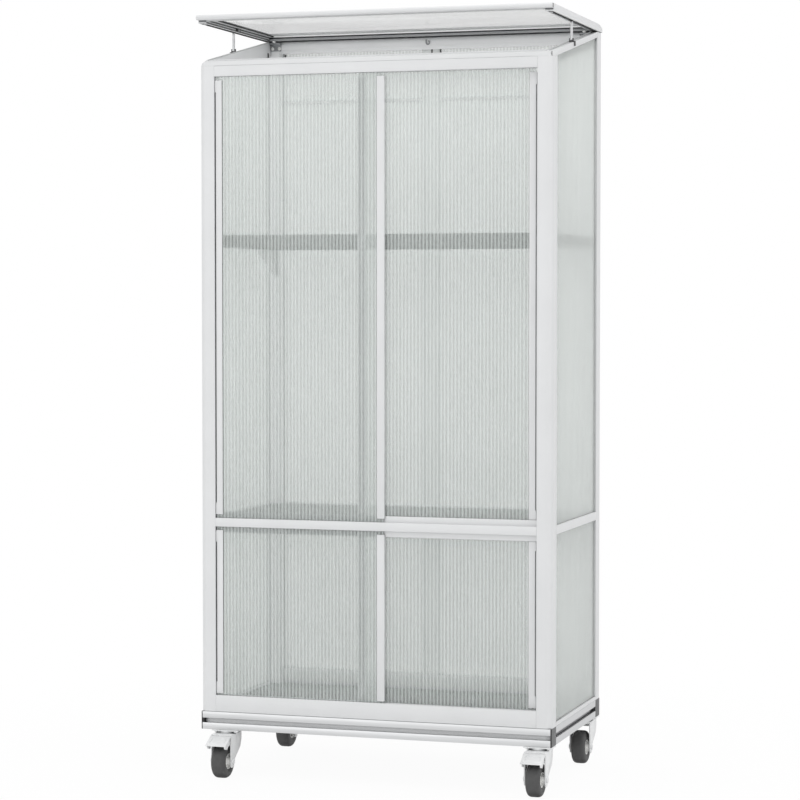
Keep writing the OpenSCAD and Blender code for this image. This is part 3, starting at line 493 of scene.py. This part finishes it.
# %% Helpers: faces with a finish of their own, and corners cut off
def repaint(obj, made, low, high, way=None, cut=""):
    """Gives a finish to the faces inside a box, after cutting the mesh at its sides."""
    bm = bmesh.new()
    bm.from_mesh(obj.data)
    for axis in cut:
        for corner in (low, high):
            bmesh.ops.bisect_plane(bm, geom=bm.verts[:] + bm.edges[:] + bm.faces[:],
                                   plane_co=at(*corner), plane_no=ALONG[axis])
    low, high = at(*low), at(*high)
    obj.data.materials.append(made)
    count = 0
    for face in bm.faces:
        centre = face.calc_center_median()
        inside = all(low[i] < centre[i] < high[i] for i in range(3))
        if inside and (way is None or face.normal.dot(Vector(way)) > 0.9):
            face.material_index = len(obj.data.materials) - 1
            count += 1
    bm.to_mesh(obj.data)
    bm.free()
    print(made.name, "on", count, "faces of", obj.name)


def shave(obj, point, way):
    """Cuts a corner off at a plane and closes the cut."""
    bm = bmesh.new()
    bm.from_mesh(obj.data)
    cut = bmesh.ops.bisect_plane(bm, geom=bm.verts[:] + bm.edges[:] + bm.faces[:],
                                 plane_co=at(*point), plane_no=Vector(way), clear_outer=True)
    edges = [g for g in cut["geom_cut"] if isinstance(g, bmesh.types.BMEdge)]
    bmesh.ops.edgeloop_fill(bm, edges=edges)
    bm.to_mesh(obj.data)
    bm.free()
    print("shaved", obj.name, "over", len(edges), "edges")


# %% Corners cut off at a slant
# A cut is a point on its plane and the way that the plane faces, on the right.
ROOF_CUTS = (((393.5, 3, 1576.2), (0.55, -0.3, 0.78)),
             ((396.8, 4, 1571.5), (0.85, -0.35, 0.4)))
LID_CUT_Y, LID_CUT_WAY = 416, (0, 0.19, 1)
for side in (-1, 1):
    for node in ("roof_front_rail", "roof_side_rails"):
        for (x, y, z), (way_x, way_y, way_z) in ROOF_CUTS:
            shave(rounded[node], (side * x, y, z), (side * way_x, way_y, way_z))
shave(rounded["lid_side_rails"], (0, LID_CUT_Y, span("lid_side_rails")[1].z), LID_CUT_WAY)

# %% Finishes on the end caps and the rear posts
# The rear posts' inner faces are painted paler, as painted light.
EDGE = 1
AROUND = Vector((EDGE, EDGE, EDGE))
DOWN, TO_THE_DOORS = (0, 0, -1), (0, -1, 0)
CAP_SIDE, CAP_FRONT, CAP_RIM = 401, -1, 3.4
INSIDE_LOW, INSIDE_HIGH = (-386, 350, 140), (386, 430, 1650)
caps = rounded["base_end_caps"]
caps_low, caps_high = span("base_end_caps")
# Painted shade: the caps' front faces and a band along their front rim are painted black nylon.
repaint(caps, black_nylon, caps_low - AROUND, caps_high + AROUND, TO_THE_DOORS)
repaint(caps, black_nylon, (-CAP_SIDE, CAP_FRONT, caps_low.z - EDGE),
        (CAP_SIDE, CAP_RIM, caps_high.z + EDGE), None, "y")
for node in ("rear_left_post", "rear_right_post"):
    repaint(rounded[node], inside_painted_light_coat, INSIDE_LOW, INSIDE_HIGH)

# %% Finishes on the lid's frame
# Bands run along a rail's inner face, given by their heights above its underside; they are painted
# shade and painted light. The channel is the slot that the stays fold into, and it and the rails'
# undersides are painted dark as shade.
INNER, CHANNEL_IN, GREY_SHADE_OUT, CHANNEL_OUT = 383.0, 388.4, 394.5, 398.6
CHANNEL_LIP, CHANNEL_END, GREY_SHADE_START, ABOVE_LID = 0.05, 404.5, -2, 1675
SIDE_BANDS = ((nylon, 0.3, 3.4), (lid_painted_light_coat, 3.4, 5.8), (painted_shade_coat, 5.8, 8), (lid_painted_light_coat, 8, 14))
REAR_BANDS, REAR_FACE = ((painted_shade_coat, 0.6, 5), (painted_light_band, 8, 15)), (391, 393)
REAR_HALF, REAR_START, REAR_END = 390, 380, 460
NOSE_START, NOSE_END, NOSE_DEEP, NOSE_SKIP = -10, -4, 10, 0.5
sides, crosses = rounded["lid_side_rails"], rounded["lid_cross_rails"]
rail_low, rail_high = span("lid_side_rails")
cross_low, cross_high = span("lid_cross_rails")
below, above = rail_low.z - EDGE, rail_low.z + EDGE
for side in (-1, 1):
    # Painted shade: the channel's faces are painted black with rubber.
    x0, x1 = sorted((side * CHANNEL_IN, side * CHANNEL_OUT))
    repaint(sides, rubber, (x0, 0, rail_low.z + CHANNEL_LIP), (x1, CHANNEL_END, ABOVE_LID))
    # Painted shade: the underside inside the channel is painted grey.
    x0, x1 = sorted((side * (INNER - EDGE), side * CHANNEL_IN))
    repaint(sides, painted_shade_coat, (x0, rail_low.y, below), (x1, rail_high.y, above), DOWN)
    # Painted shade and painted light in bands along the inner face.
    x0, x1 = sorted((side * (INNER - EDGE), side * (INNER + EDGE)))
    for made, z0, z1 in SIDE_BANDS:
        repaint(sides, made, (x0, rail_low.y - EDGE, rail_low.z + z0),
                (x1, rail_high.y, rail_low.z + z1), (-side, 0, 0), "z")
    # Painted shade: the underside outside the channel is painted dark nylon.
    x0, x1 = sorted((side * CHANNEL_OUT, side * (rail_high.x + EDGE)))
    repaint(sides, nylon, (x0, rail_low.y, below), (x1, rail_high.y, above), DOWN)
# Painted shade on the right rail's channel: grey on its inner part instead of black.
repaint(sides, painted_shade_coat, (CHANNEL_IN, GREY_SHADE_START, below), (GREY_SHADE_OUT, CHANNEL_END, ABOVE_LID),
        None, "x")
# Painted shade: the rear rail's underside is painted dark nylon.
repaint(crosses, nylon, (-REAR_HALF, REAR_START, below), (REAR_HALF, REAR_END, above), DOWN)
# Painted shade and painted light in bands on the rear rail's front face.
for made, z0, z1 in REAR_BANDS:
    repaint(crosses, made, (-INNER, REAR_FACE[0], rail_low.z + z0),
            (INNER, REAR_FACE[1], rail_low.z + z1), TO_THE_DOORS, "z")
repaint(crosses, rubber, (cross_high.x - EDGE, NOSE_START, cross_high.z - NOSE_DEEP),
        (cross_high.x + EDGE, NOSE_END, cross_high.z - NOSE_SKIP), (1, 0, 0), "y")

# %% [markdown]
# ## Ribbed panels
# A twin-wall sheet is extruded, so this one is too. A grid drawn as the
# sheet's cross-section loses the faces of its hollow channels, and what is
# left is pulled up to the panel's height. The flutes run upright and repeat
# every 8 mm, as counted on the photograph.

# %% Twin-wall sheet
# JUST_PAST leaves room for rounding where a web's faces are told from a skin's.
PITCH, SKIN, WEB, JUST_PAST = 8.0, 0.5, 3.2, 1.01


def twin_wall(bm, width, thick, height):
    """A ribbed sheet from the origin: width along X, thickness along Y."""
    cells = round((width - WEB) / PITCH)
    step = (width - WEB) / cells
    grid = bmesh.ops.create_grid(bm, x_segments=2 * cells + 1, y_segments=3, size=0.5)
    rows = (0, SKIN, thick - SKIN, thick)
    for v in grid["verts"]:
        column = round((v.co.x + 0.5) * (2 * cells + 1))
        row = round((v.co.y + 0.5) * 3)
        v.co = (column // 2 * step + column % 2 * WEB, rows[row], 0)
    made = {f for v in grid["verts"] for f in v.link_faces}
    hollow = [f for f in made if SKIN < f.calc_center_median().y < thick - SKIN
              and f.calc_center_median().x % step > WEB]
    section = [f for f in made if f not in hollow]
    bmesh.ops.delete(bm, geom=hollow, context="FACES")
    pulled = bmesh.ops.extrude_face_region(bm, geom=section)
    top = [g for g in pulled["geom"] if isinstance(g, bmesh.types.BMVert)]
    bmesh.ops.translate(bm, verts=top, vec=(0, 0, height))
    verts = list(grid["verts"]) + top
    for f in {f for v in verts for f in v.link_faces}:
        if f.calc_center_median().x % step < WEB * JUST_PAST:
            f.material_index = 1
    return verts, top


test = bmesh.new()
twin_wall(test, width=380, thick=4, height=900)
print("a leaf's sheet has", len(test.faces), "faces; its volume is",
      round(test.calc_volume() / 1e3), "cm3")
test.free()

# %% Panels of the four doors
for door in DOORS:
    low, high = span(door + "_leaf_panel")
    size = high - low
    bm = bmesh.new()
    twin_wall(bm, size.x, size.y, size.z)
    for v in bm.verts:
        v.co = at(*(v.co + low))
    leaf = piece(door + "_ribbed_panel", bm, door + "_door", "twin_wall", skin, web)
    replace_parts(leaf, door + "_leaf_panel")

# %% [markdown]
# ## Fixed panels
# The side and rear walls are cut from the same sheet; their materials are lighter copies of it, as
# painted light. The side panels' upper edges follow the slope of the roof, so their top corners are
# raised with the depth.

# %% Panels of the side walls
low, high = span("side_panels")
sills, mids = span("side_sills"), span("side_mid_rails")
SLOPE, BITE, THICK = 0.2, 4.5, 4.0
bm = bmesh.new()
for side in (-1, 1):
    for z0, z1, rise in ((low.z, mids[0].z + BITE, 0), (mids[1].z - BITE, None, SLOPE)):
        lift = high.z - SLOPE * (high.y - low.y) if z1 is None else z1
        verts, top = twin_wall(bm, high.y - low.y, THICK, lift - z0)
        for v in top:
            v.co.z += rise * v.co.x
        for v in verts:
            x = high.x - THICK + v.co.y
            v.co = at(side * x, low.y + v.co.x, z0 + v.co.z)
walls = piece("side_ribbed_panels", bm, "cabinet", "twin_wall", wall_skin, wall_web)
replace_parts(walls, "side_panels")
print("side panels from", tuple(round(c, 1) for c in low), "to",
      tuple(round(c, 1) for c in high))

# %% Panels of the rear wall
low, high = span("rear_panels")
inner = span("rear_mullion")[1].x - BITE
bm = bmesh.new()
for side in (-1, 1):
    for z0, z1 in ((low.z, mids[0].z + BITE), (mids[1].z - BITE, high.z)):
        verts, top = twin_wall(bm, high.x - inner, THICK, z1 - z0)
        for v in verts:
            v.co = at(side * (inner + v.co.x), low.y + v.co.y, z0 + v.co.z)
wall = piece("rear_ribbed_panels", bm, "cabinet", "twin_wall", rear_skin, rear_web)
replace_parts(wall, "rear_panels")

# %% [markdown]
# ## Small bars and rods
# Clips, gaskets and glazing strips are short pieces of bar or rod. Two small
# helpers draw them between two points of the drawing and round their edges,
# so that none of them is a bare box.

# %% Helpers: a bar and a rod on the drawing


def bar(bm, low, high, ease=0.3):
    """A bar between two corners, in millimetres, its edges rounded."""
    made = bmesh.ops.create_cube(bm, size=1)["verts"]
    for v in made:
        v.co = Vector([low[i] + (v.co[i] + 0.5) * (high[i] - low[i]) for i in range(3)])
    edges = list({edge for v in made for edge in v.link_edges})
    done = bmesh.ops.bevel(bm, geom=edges, offset=ease, offset_type="OFFSET", segments=2,
                           profile=0.5, affect="EDGES", clamp_overlap=True, material=-1)
    return done["verts"]


def rod(bm, start, end, radius, sides=24):
    """A rod between two points, in millimetres."""
    start, end = Vector(start), Vector(end)
    turn = (end - start).to_track_quat("Z", "Y").to_matrix().to_4x4()
    middle = Matrix.Translation((start + end) / 2)
    made = bmesh.ops.create_cone(bm, cap_ends=True, segments=sides, radius1=radius,
                                 radius2=radius, depth=(end - start).length,
                                 matrix=middle @ turn)
    return made["verts"]


def on_drawing(bm):
    for v in bm.verts:
        v.co = at(*v.co)


print("helpers are ready")

# %% [markdown]
# ## Seals, clips and beads
# A thin silicone strip lies between each side panel and the rear post, and small black clips hold the
# upper corners of the panels. The lid's pane lies on beads in a lighter coat that paints light, with a
# thin EPDM gasket beside them. A white band of painted light covers its rear edge from below. Its
# front part is paler: the studio's light is painted on it.

# %% Glazing strips beside the rear posts
STRIP_DEEP, STRIP_BITE, STRIP_INSET, STRIP_SHORT = 1.4, 0.4, 1.6, 12
low, high = span("side_panels")
wall_x = mids[1].x
post_low = span("rear_right_post")[0]
bm = bmesh.new()
for side in (-1, 1):
    for z0, z1 in ((sills[1].z, mids[0].z), (mids[1].z, high.z - STRIP_SHORT)):
        x0, x1 = sorted((side * (high.x - STRIP_BITE), side * (wall_x - STRIP_INSET)))
        bar(bm, (x0, post_low.y - STRIP_DEEP, z0), (x1, post_low.y, z1))
on_drawing(bm)
piece("rear_glazing_strips", bm, "cabinet", "rubber", silicone, soften=CRISP)

# %% Clips that hold the upper corners of the panels
# Depths are counted forward from what the clip holds, and drops from the
# rear rail's top.
SIDE_CLIP_X, SIDE_CLIP_DEPTHS, SIDE_CLIP_DROP = (384.2, 386), (22, 17), 40
REAR_CLIP_INSETS, REAR_CLIP_DEPTH, CLIP_TOP, CLIP_FOOT = (4, 7.4), 3, 27, 48
top = span("rear_rails")[1].z
rear_face = span("rear_panels")[0].y
mullion_face = span("rear_mullion")[0].y
MIDDLE_CLIPS = ((20.5, 23.4, rear_face, 3, 18), (0.6, 3.6, mullion_face, 2.5, 17))
bm = bmesh.new()
for side in (-1, 1):
    x0, x1 = sorted(side * x for x in SIDE_CLIP_X)
    bar(bm, (x0, post_low.y - SIDE_CLIP_DEPTHS[0], top - SIDE_CLIP_DROP),
        (x1, post_low.y - SIDE_CLIP_DEPTHS[1], top - CLIP_TOP))
    x0, x1 = sorted(side * (post_low.x - inset) for inset in REAR_CLIP_INSETS)
    bar(bm, (x0, rear_face - REAR_CLIP_DEPTH, top - CLIP_FOOT), (x1, rear_face, top - CLIP_TOP))
for x0, x1, face, depth, drop in MIDDLE_CLIPS:
    bar(bm, (x0, face - depth, top - CLIP_FOOT), (x1, face, top - drop))
on_drawing(bm)
piece("panel_clips", bm, "cabinet", "dark_plastic", black_nylon, soften=CRISP)

# %% Beads and gasket under the lid's pane
LINE, BEAD, DROP = 0.6, 10, 3.2
REAR_LINE, SEAL_FOOT = (5, 8), 2
low, high = span("lid_gasket")
lid = body_of(frame["nodes"]["lid_gasket"])[0]
pane = span("lid_pane")[0].z
bm = bmesh.new()
for side in (-1, 1):
    x0, x1 = sorted((side * high.x, side * (high.x - BEAD)))
    bar(bm, (x0, low.y, pane - DROP), (x1, high.y, pane))
on_drawing(bm)
# The side beads wear the lighter coat, as painted light.
piece("lid_side_beads", bm, lid, "coated_frame", lid_painted_light_coat, soften=CRISP)
bm = bmesh.new()
for side in (-1, 1):
    x0, x1 = sorted((side * (high.x - BEAD), side * (high.x - BEAD - LINE)))
    bar(bm, (x0, low.y + LINE, pane - DROP), (x1, high.y, pane))
bar(bm, (low.x, high.y - LINE, cross_low.z + REAR_LINE[0]),
    (high.x, high.y, cross_low.z + REAR_LINE[1]))
on_drawing(bm)
made = piece("lid_glazing_gasket", bm, lid, "rubber", rubber, soften=CRISP)
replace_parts(made, "lid_gasket")
bm = bmesh.new()
bar(bm, (low.x, low.y, low.z + SEAL_FOOT), (high.x, low.y + LINE, pane))
on_drawing(bm)
piece("lid_front_seal", bm, lid, "rubber", silicone, soften=CRISP)

# %% Finishes on the pane
PALE_BAND_START, PALE_BAND_END, PALE_END = 354, 404, 166
pane_low, pane_high = span("lid_pane")
# Painted light: a white band under the pane's rear edge.
repaint(rounded["lid_pane"], painted_light_band, (-INNER, PALE_BAND_START, pane_low.z - EDGE),
        (INNER, PALE_BAND_END, pane_low.z + EDGE), DOWN, "y")
# Painted light: the pane's front part is paler.
repaint(rounded["lid_pane"], pane_painted_light, pane_low - AROUND,
        (pane_high.x + EDGE, PALE_END, pane_high.z + EDGE), None, "y")

# %% [markdown]
# ## Lid fittings
# Each stay is caught by a black nylon catch in the lid's channel, with a knob
# on the rail's inner side. Screw heads are turned domes: each is a flattened
# sphere whose lower half stays out of sight in the rail.

# %% Screw heads, catches and knobs
SCREW_X, SCREW_Y, SCREW_RADIUS, SCREW_HEIGHT = 392.8, 15, 3.4, 1.8
CATCH_X, CATCH_DEEP, CATCH_HIGH, CATCH_EASE = (390.5, 396.5), 5, 12.4, 0.6
PLATE_X, PLATE_Y, PLATE_Z, PLATE_EASE = (381.6, 383), (-22, 5), (0.6, 8.4), 0.5
KNOB_X, KNOB_BACK, KNOB_UP, KNOB_RADIUS, KNOB_CROWN = (383, 380), 8, 4.4, 3.6, 1.4


def dome(bm, centre, radius, height, way):
    """A domed screw head at a point of the drawing, standing out along way."""
    turn = Vector(way).to_track_quat("Z", "Y").to_matrix().to_4x4()
    flat = Matrix.Diagonal((radius, radius, height, 1))
    bmesh.ops.create_uvsphere(bm, u_segments=20, v_segments=10, radius=1,
                              matrix=Matrix.Translation(Vector(centre)) @ turn @ flat)


bm = bmesh.new()
for side in (-1, 1):
    dome(bm, (side * SCREW_X, SCREW_Y, rail_low.z), SCREW_RADIUS, SCREW_HEIGHT, DOWN)
on_drawing(bm)
screws = piece("lid_corner_screws", bm, lid, "bright_steel", steel, soften=DOMED)
catch_y = span("lid_fittings")[1].y
bm = bmesh.new()
for side in (-1, 1):
    x0, x1 = sorted(side * x for x in CATCH_X)
    bar(bm, (x0, catch_y - CATCH_DEEP, rail_low.z), (x1, catch_y, rail_low.z + CATCH_HIGH),
        CATCH_EASE)
    x0, x1 = sorted(side * x for x in PLATE_X)
    bar(bm, (x0, catch_y + PLATE_Y[0], rail_low.z + PLATE_Z[0]),
        (x1, catch_y + PLATE_Y[1], rail_low.z + PLATE_Z[1]), PLATE_EASE)
on_drawing(bm)
catches = piece("stay_catches", bm, lid, "dark_plastic", black_nylon, soften=CRISP)
bm = bmesh.new()
for side in (-1, 1):
    root, tip = [(side * x, catch_y - KNOB_BACK, rail_low.z + KNOB_UP) for x in KNOB_X]
    rod(bm, root, tip, KNOB_RADIUS)
    dome(bm, tip, KNOB_RADIUS, KNOB_CROWN, (-side, 0, 0))
on_drawing(bm)
knobs = piece("stay_knobs", bm, lid, "bright_steel", hinge_steel, soften=CRISP)
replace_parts(screws, "lid_fittings")
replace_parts(catches, "lid_fittings")
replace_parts(knobs, "lid_fittings")

# %% Screw heads on the hinges
# Two screws hold the leaf on the frame, at its outer thirds, and one the leaf
# on the lid, in the middle third. Their white heads are plastic caps.
HINGE_IN, HINGE_OUT, LEAF_INSET, CAP_RADIUS = 360, 385.5, 0.3, 4.2
FRAME_CAP_Y, FRAME_CAP_UP, FRAME_CAP_HEIGHT = 408.5, 5.8, 2.4
LID_CAP_IN, LID_CAP_DROP, LID_CAP_HEIGHT = 3.2, 1.5, 2.6
leaf_low, leaf_high = span("hinge_frame_leaves")
lid_leaf_low, lid_leaf_high = span("hinge_lid_leaves")
third = (leaf_high.x + LEAF_INSET - HINGE_IN) / 3
frame_spots = [(x, FRAME_CAP_Y, leaf_low.z + FRAME_CAP_UP)
               for x in (HINGE_IN + third / 2, HINGE_OUT - third / 2)]
lid_spots = [(HINGE_IN + 1.5 * third, lid_leaf_low.y + LID_CAP_IN, lid_leaf_high.z - LID_CAP_DROP)]
for name, body, spots, height, way in (
        ("hinge_frame_screws", "cabinet", frame_spots, FRAME_CAP_HEIGHT, TO_THE_DOORS),
        ("hinge_lid_screws", lid, lid_spots, LID_CAP_HEIGHT, DOWN)):
    bm = bmesh.new()
    for side in (-1, 1):
        for x, y, z in spots:
            dome(bm, (side * x, y, z), CAP_RADIUS, height, way)
    on_drawing(bm)
    piece(name, bm, body, "bright_steel", hub_finish, soften=DOMED)

# %% [markdown]
# ## Small parts of the base, the roof and the brakes
# A plug closes the slot of the front base bar at its left end, a key shows in
# the mitre of the roof's right corner, and a seal lies in the seam above the
# base. A flange runs along the rear top rail. A brake pedal is pressed from
# sheet, with a raised rim that keeps the foot from slipping.

# %% Small parts of the base and the roof
PLUG = ((-397.5, 0.6, 119.2), (-393.8, 4.4, 128.8))
KEY, KEY_RADIUS, KEY_SIDES = ((396.6, 3.4, 1569.4), (396.6, 3.4, 1579)), 0.8, 12
SEAL = ((-399, -0.2, 143.6), (399, 1, 144.7))
FLANGE = ((-366, 410, 1633), (366, 411.6, 1642))
bm = bmesh.new()
bar(bm, *PLUG)
rod(bm, *KEY, KEY_RADIUS, KEY_SIDES)
on_drawing(bm)
piece("groove_plug_and_mitre_key", bm, "cabinet", "dark_plastic", black_nylon, soften=CRISP)
bm = bmesh.new()
bar(bm, *SEAL, ease=0.2)
on_drawing(bm)
piece("base_joint_seal", bm, "cabinet", "rubber", grey_rubber, soften=CRISP)
bm = bmesh.new()
bar(bm, *FLANGE)
on_drawing(bm)
# The flange wears the lighter coat with the lid's painted shadow.
piece("rear_top_flange", bm, "cabinet", "coated_frame", lid_shadow_coat, soften=CRISP)

# %% Pressed rims on the brake pedals
# The rim is drawn flat, as spans across and spans in front of the swivel's
# middle, and then sheared to the pedal's fall.
RIM = (((-17, 17), (-54, -52.4)), ((-17, 17), (-66.6, -65)),
       ((-17, -15.4), (-66, -53)), ((15.4, 17), (-66, -53)))
RIM_Z, SWIVEL_Y, PEDAL_START, FALL = (93.8, 94.9), 20, -44.5, 16 / 31.5
for castor in FRONT_CASTORS:
    low, high = span(castor + "_pedal")
    middle = (low.x + high.x) / 2
    bm = bmesh.new()
    for (x0, x1), (y0, y1) in RIM:
        verts = bar(bm, (middle + x0, SWIVEL_Y + y0, RIM_Z[0]),
                    (middle + x1, SWIVEL_Y + y1, RIM_Z[1]))
        for v in verts:
            v.co.z += FALL * (v.co.y - SWIVEL_Y - PEDAL_START)
    on_drawing(bm)
    piece(castor + "_pedal_rim", bm, body_of(frame["nodes"][castor + "_pedal"])[0],
          "white_steel", lacquer, soften=CRISP)

# %% [markdown]
# ## Wheels
# A castor wheel is turned: its shape is one outline carried round the axle.
# The tyre has round shoulders.
# The wheel centre is dished, and ribs run from its hub to its rim.

# %% Tyres and wheel centres
# Each outline is half of a cross-section: distance from the middle, radius.
HALF_TYRE = [(0, 37.5), (6.8, 37.45), (9.6, 37.0), (12, 35.9), (13.9, 34.2), (15.2, 31.9),
             (15.9, 29.4), (16, 26.5), (15.7, 23.6), (15, 21.2), (14.2, 19.8), (14, 17), (0, 17)]
HALF_HUB = [(0, 17), (14, 17), (14, 15.6), (13.3, 14.9), (11.2, 14.2), (10.6, 13.2),
            (10.6, 10.8), (11.4, 9.7), (14, 9), (20.2, 8.6), (21.2, 7.6), (21.2, 4.1), (0, 4.1)]
TYRE_STEPS, HUB_STEPS, CLOSE = 72, 48, 0.001
RIBS, RIB_X, RIB_HALF, RIB_RADII = 6, (10, 13.2), 0.9, (8.8, 14.8)


def turned(bm, half, centre, steps):
    """Half an outline, as distance from the middle and radius, is mirrored and spun."""
    outline = half + [(-x, r) for x, r in half[-2:0:-1]]
    verts = [bm.verts.new((centre.x + x, centre.y, centre.z + r)) for x, r in outline]
    edges = [bm.edges.new((a, b)) for a, b in zip(verts, verts[1:] + verts[:1])]
    bmesh.ops.spin(bm, geom=verts + edges, cent=centre, axis=(1, 0, 0), dvec=(0, 0, 0),
                   angle=2 * math.pi, steps=steps, use_merge=True, use_duplicate=False)
    bmesh.ops.remove_doubles(bm, verts=bm.verts, dist=CLOSE)


for castor in CASTORS:
    low, high = span(castor + "_tyre")
    centre = (low + high) / 2
    body = body_of(frame["nodes"][castor + "_tyre"])[0]
    bm = bmesh.new()
    turned(bm, HALF_TYRE, centre, TYRE_STEPS)
    on_drawing(bm)
    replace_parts(piece(castor + "_moulded_tyre", bm, body, "tyre", tyre_finish, soften=MOULDED),
                castor + "_tyre")
    bm = bmesh.new()
    turned(bm, HALF_HUB, centre, HUB_STEPS)
    for side in (-1, 1):
        x0, x1 = sorted(side * x for x in RIB_X)
        for k in range(RIBS):
            rib = bar(bm, (x0, -RIB_HALF, RIB_RADII[0]), (x1, RIB_HALF, RIB_RADII[1]))
            bmesh.ops.rotate(bm, cent=(0, 0, 0), verts=rib,
                             matrix=Matrix.Rotation(k * 2 * math.pi / RIBS, 3, "X"))
            bmesh.ops.translate(bm, verts=rib, vec=centre)
    on_drawing(bm)
    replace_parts(piece(castor + "_ribbed_wheel", bm, body, "wheel_plastic", hub_finish, soften=CRISP),
                castor + "_wheel")

# %% [markdown]
# ## The studio
# The photograph has a white background, soft light from all round and only
# a little shade below. A pale floor takes the shade. Rays that see the
# floor's far part or the sky meet plain white.

# %% Floor and background
# Sizes are in metres here, as Blender's own units. The floor glows a little
# less near the object than far away, so that its shadow shows.
FLOOR_HALF, NEAR, FAR, NEAR_SHARE, SKY_LIGHT = 30, 0.5, 1.6, 0.955, 0.8
WHITE = (1.0, 1.0, 1.0, 1.0)


def meets_background(tree):
    """1 for a ray of the camera, of a gloss or through glass, and 0 for light."""
    path = add(tree, "LightPath")
    seen = path.outputs["Is Camera Ray"]
    for ray in ("Is Glossy Ray", "Is Transmission Ray"):
        seen = add(tree, "Math", {0: seen, 1: path.outputs[ray]}, operation="MAXIMUM").outputs[0]
    return seen


studio, tree, shader, place = finish("matt_white_studio_floor")
shader.inputs["Base Color"].default_value = colour("#F4F4F4")
shader.inputs["Roughness"].default_value = 0.9
reach = add(tree, "VectorMath", {0: place}, operation="LENGTH")
far = add(tree, "MapRange", {"Value": reach.outputs["Value"], "From Min": NEAR, "From Max": FAR,
                             "To Min": NEAR_SHARE, "To Max": 1.0})
share = add(tree, "Math", {0: meets_background(tree), 1: far.outputs["Result"]},
            operation="MULTIPLY")
glow = add(tree, "Emission", {"Color": WHITE, "Strength": 1.0})
both = add(tree, "MixShader", {0: share.outputs[0], 1: shader.outputs[0], 2: glow.outputs[0]})
tree.links.new(both.outputs[0], tree.nodes["Material Output"].inputs["Surface"])

bm = bmesh.new()
bmesh.ops.create_grid(bm, x_segments=1, y_segments=1, size=FLOOR_HALF)
mesh = bpy.data.meshes.new("studio_floor")
bm.to_mesh(mesh)
bm.free()
mesh.materials.append(studio)
ground = bpy.data.objects.new("studio_floor", mesh)
bpy.context.scene.collection.objects.link(ground)

world = bpy.data.worlds.new("studio_world")
bpy.context.scene.world = world
world.use_nodes = True
tree = world.node_tree
soft = add(tree, "Background", {"Color": WHITE, "Strength": SKY_LIGHT})
plain = add(tree, "Background", {"Color": WHITE, "Strength": 1.0})
both = add(tree, "MixShader", {0: meets_background(tree), 1: soft.outputs[0],
                               2: plain.outputs[0]})
tree.links.new(both.outputs[0], tree.nodes["World Output"].inputs["Surface"])
print("floor and world are ready")

# %% [markdown]
# ## The lamps
# A studio lights such a cabinet with large soft boxes, so that no edge throws
# a hard shadow. Three square area lamps stand in for them: one in front, one
# overhead, and a weaker one at the right for the side wall.

# %% Lamps
AIM = Vector((0, 0, 0.9))
LAMPS = (("front_softbox", (-1.8, -4.2, 1.4), 2.2, 24),
         ("top_softbox", (0.4, -0.6, 4.2), 2.6, 30),
         ("right_softbox", (4.0, -1.6, 1.4), 2.0, 14))
SEEN_THROUGH = 96


def lamp(name, place, size, power):
    """A square area lamp that faces the cabinet's middle, its power in watts."""
    data = bpy.data.lights.new(name, "AREA")
    data.shape = "SQUARE"
    data.size = size
    data.energy = power
    obj = bpy.data.objects.new(name, data)
    bpy.context.scene.collection.objects.link(obj)
    obj.location = place
    obj.rotation_euler = (AIM - Vector(place)).to_track_quat("-Z", "Y").to_euler()


for settings in LAMPS:
    lamp(*settings)
scene = bpy.context.scene
scene.view_settings.view_transform = "Standard"
scene.cycles.transparent_max_bounces = SEEN_THROUGH
print("lamps", [light.name for light in bpy.data.lights])
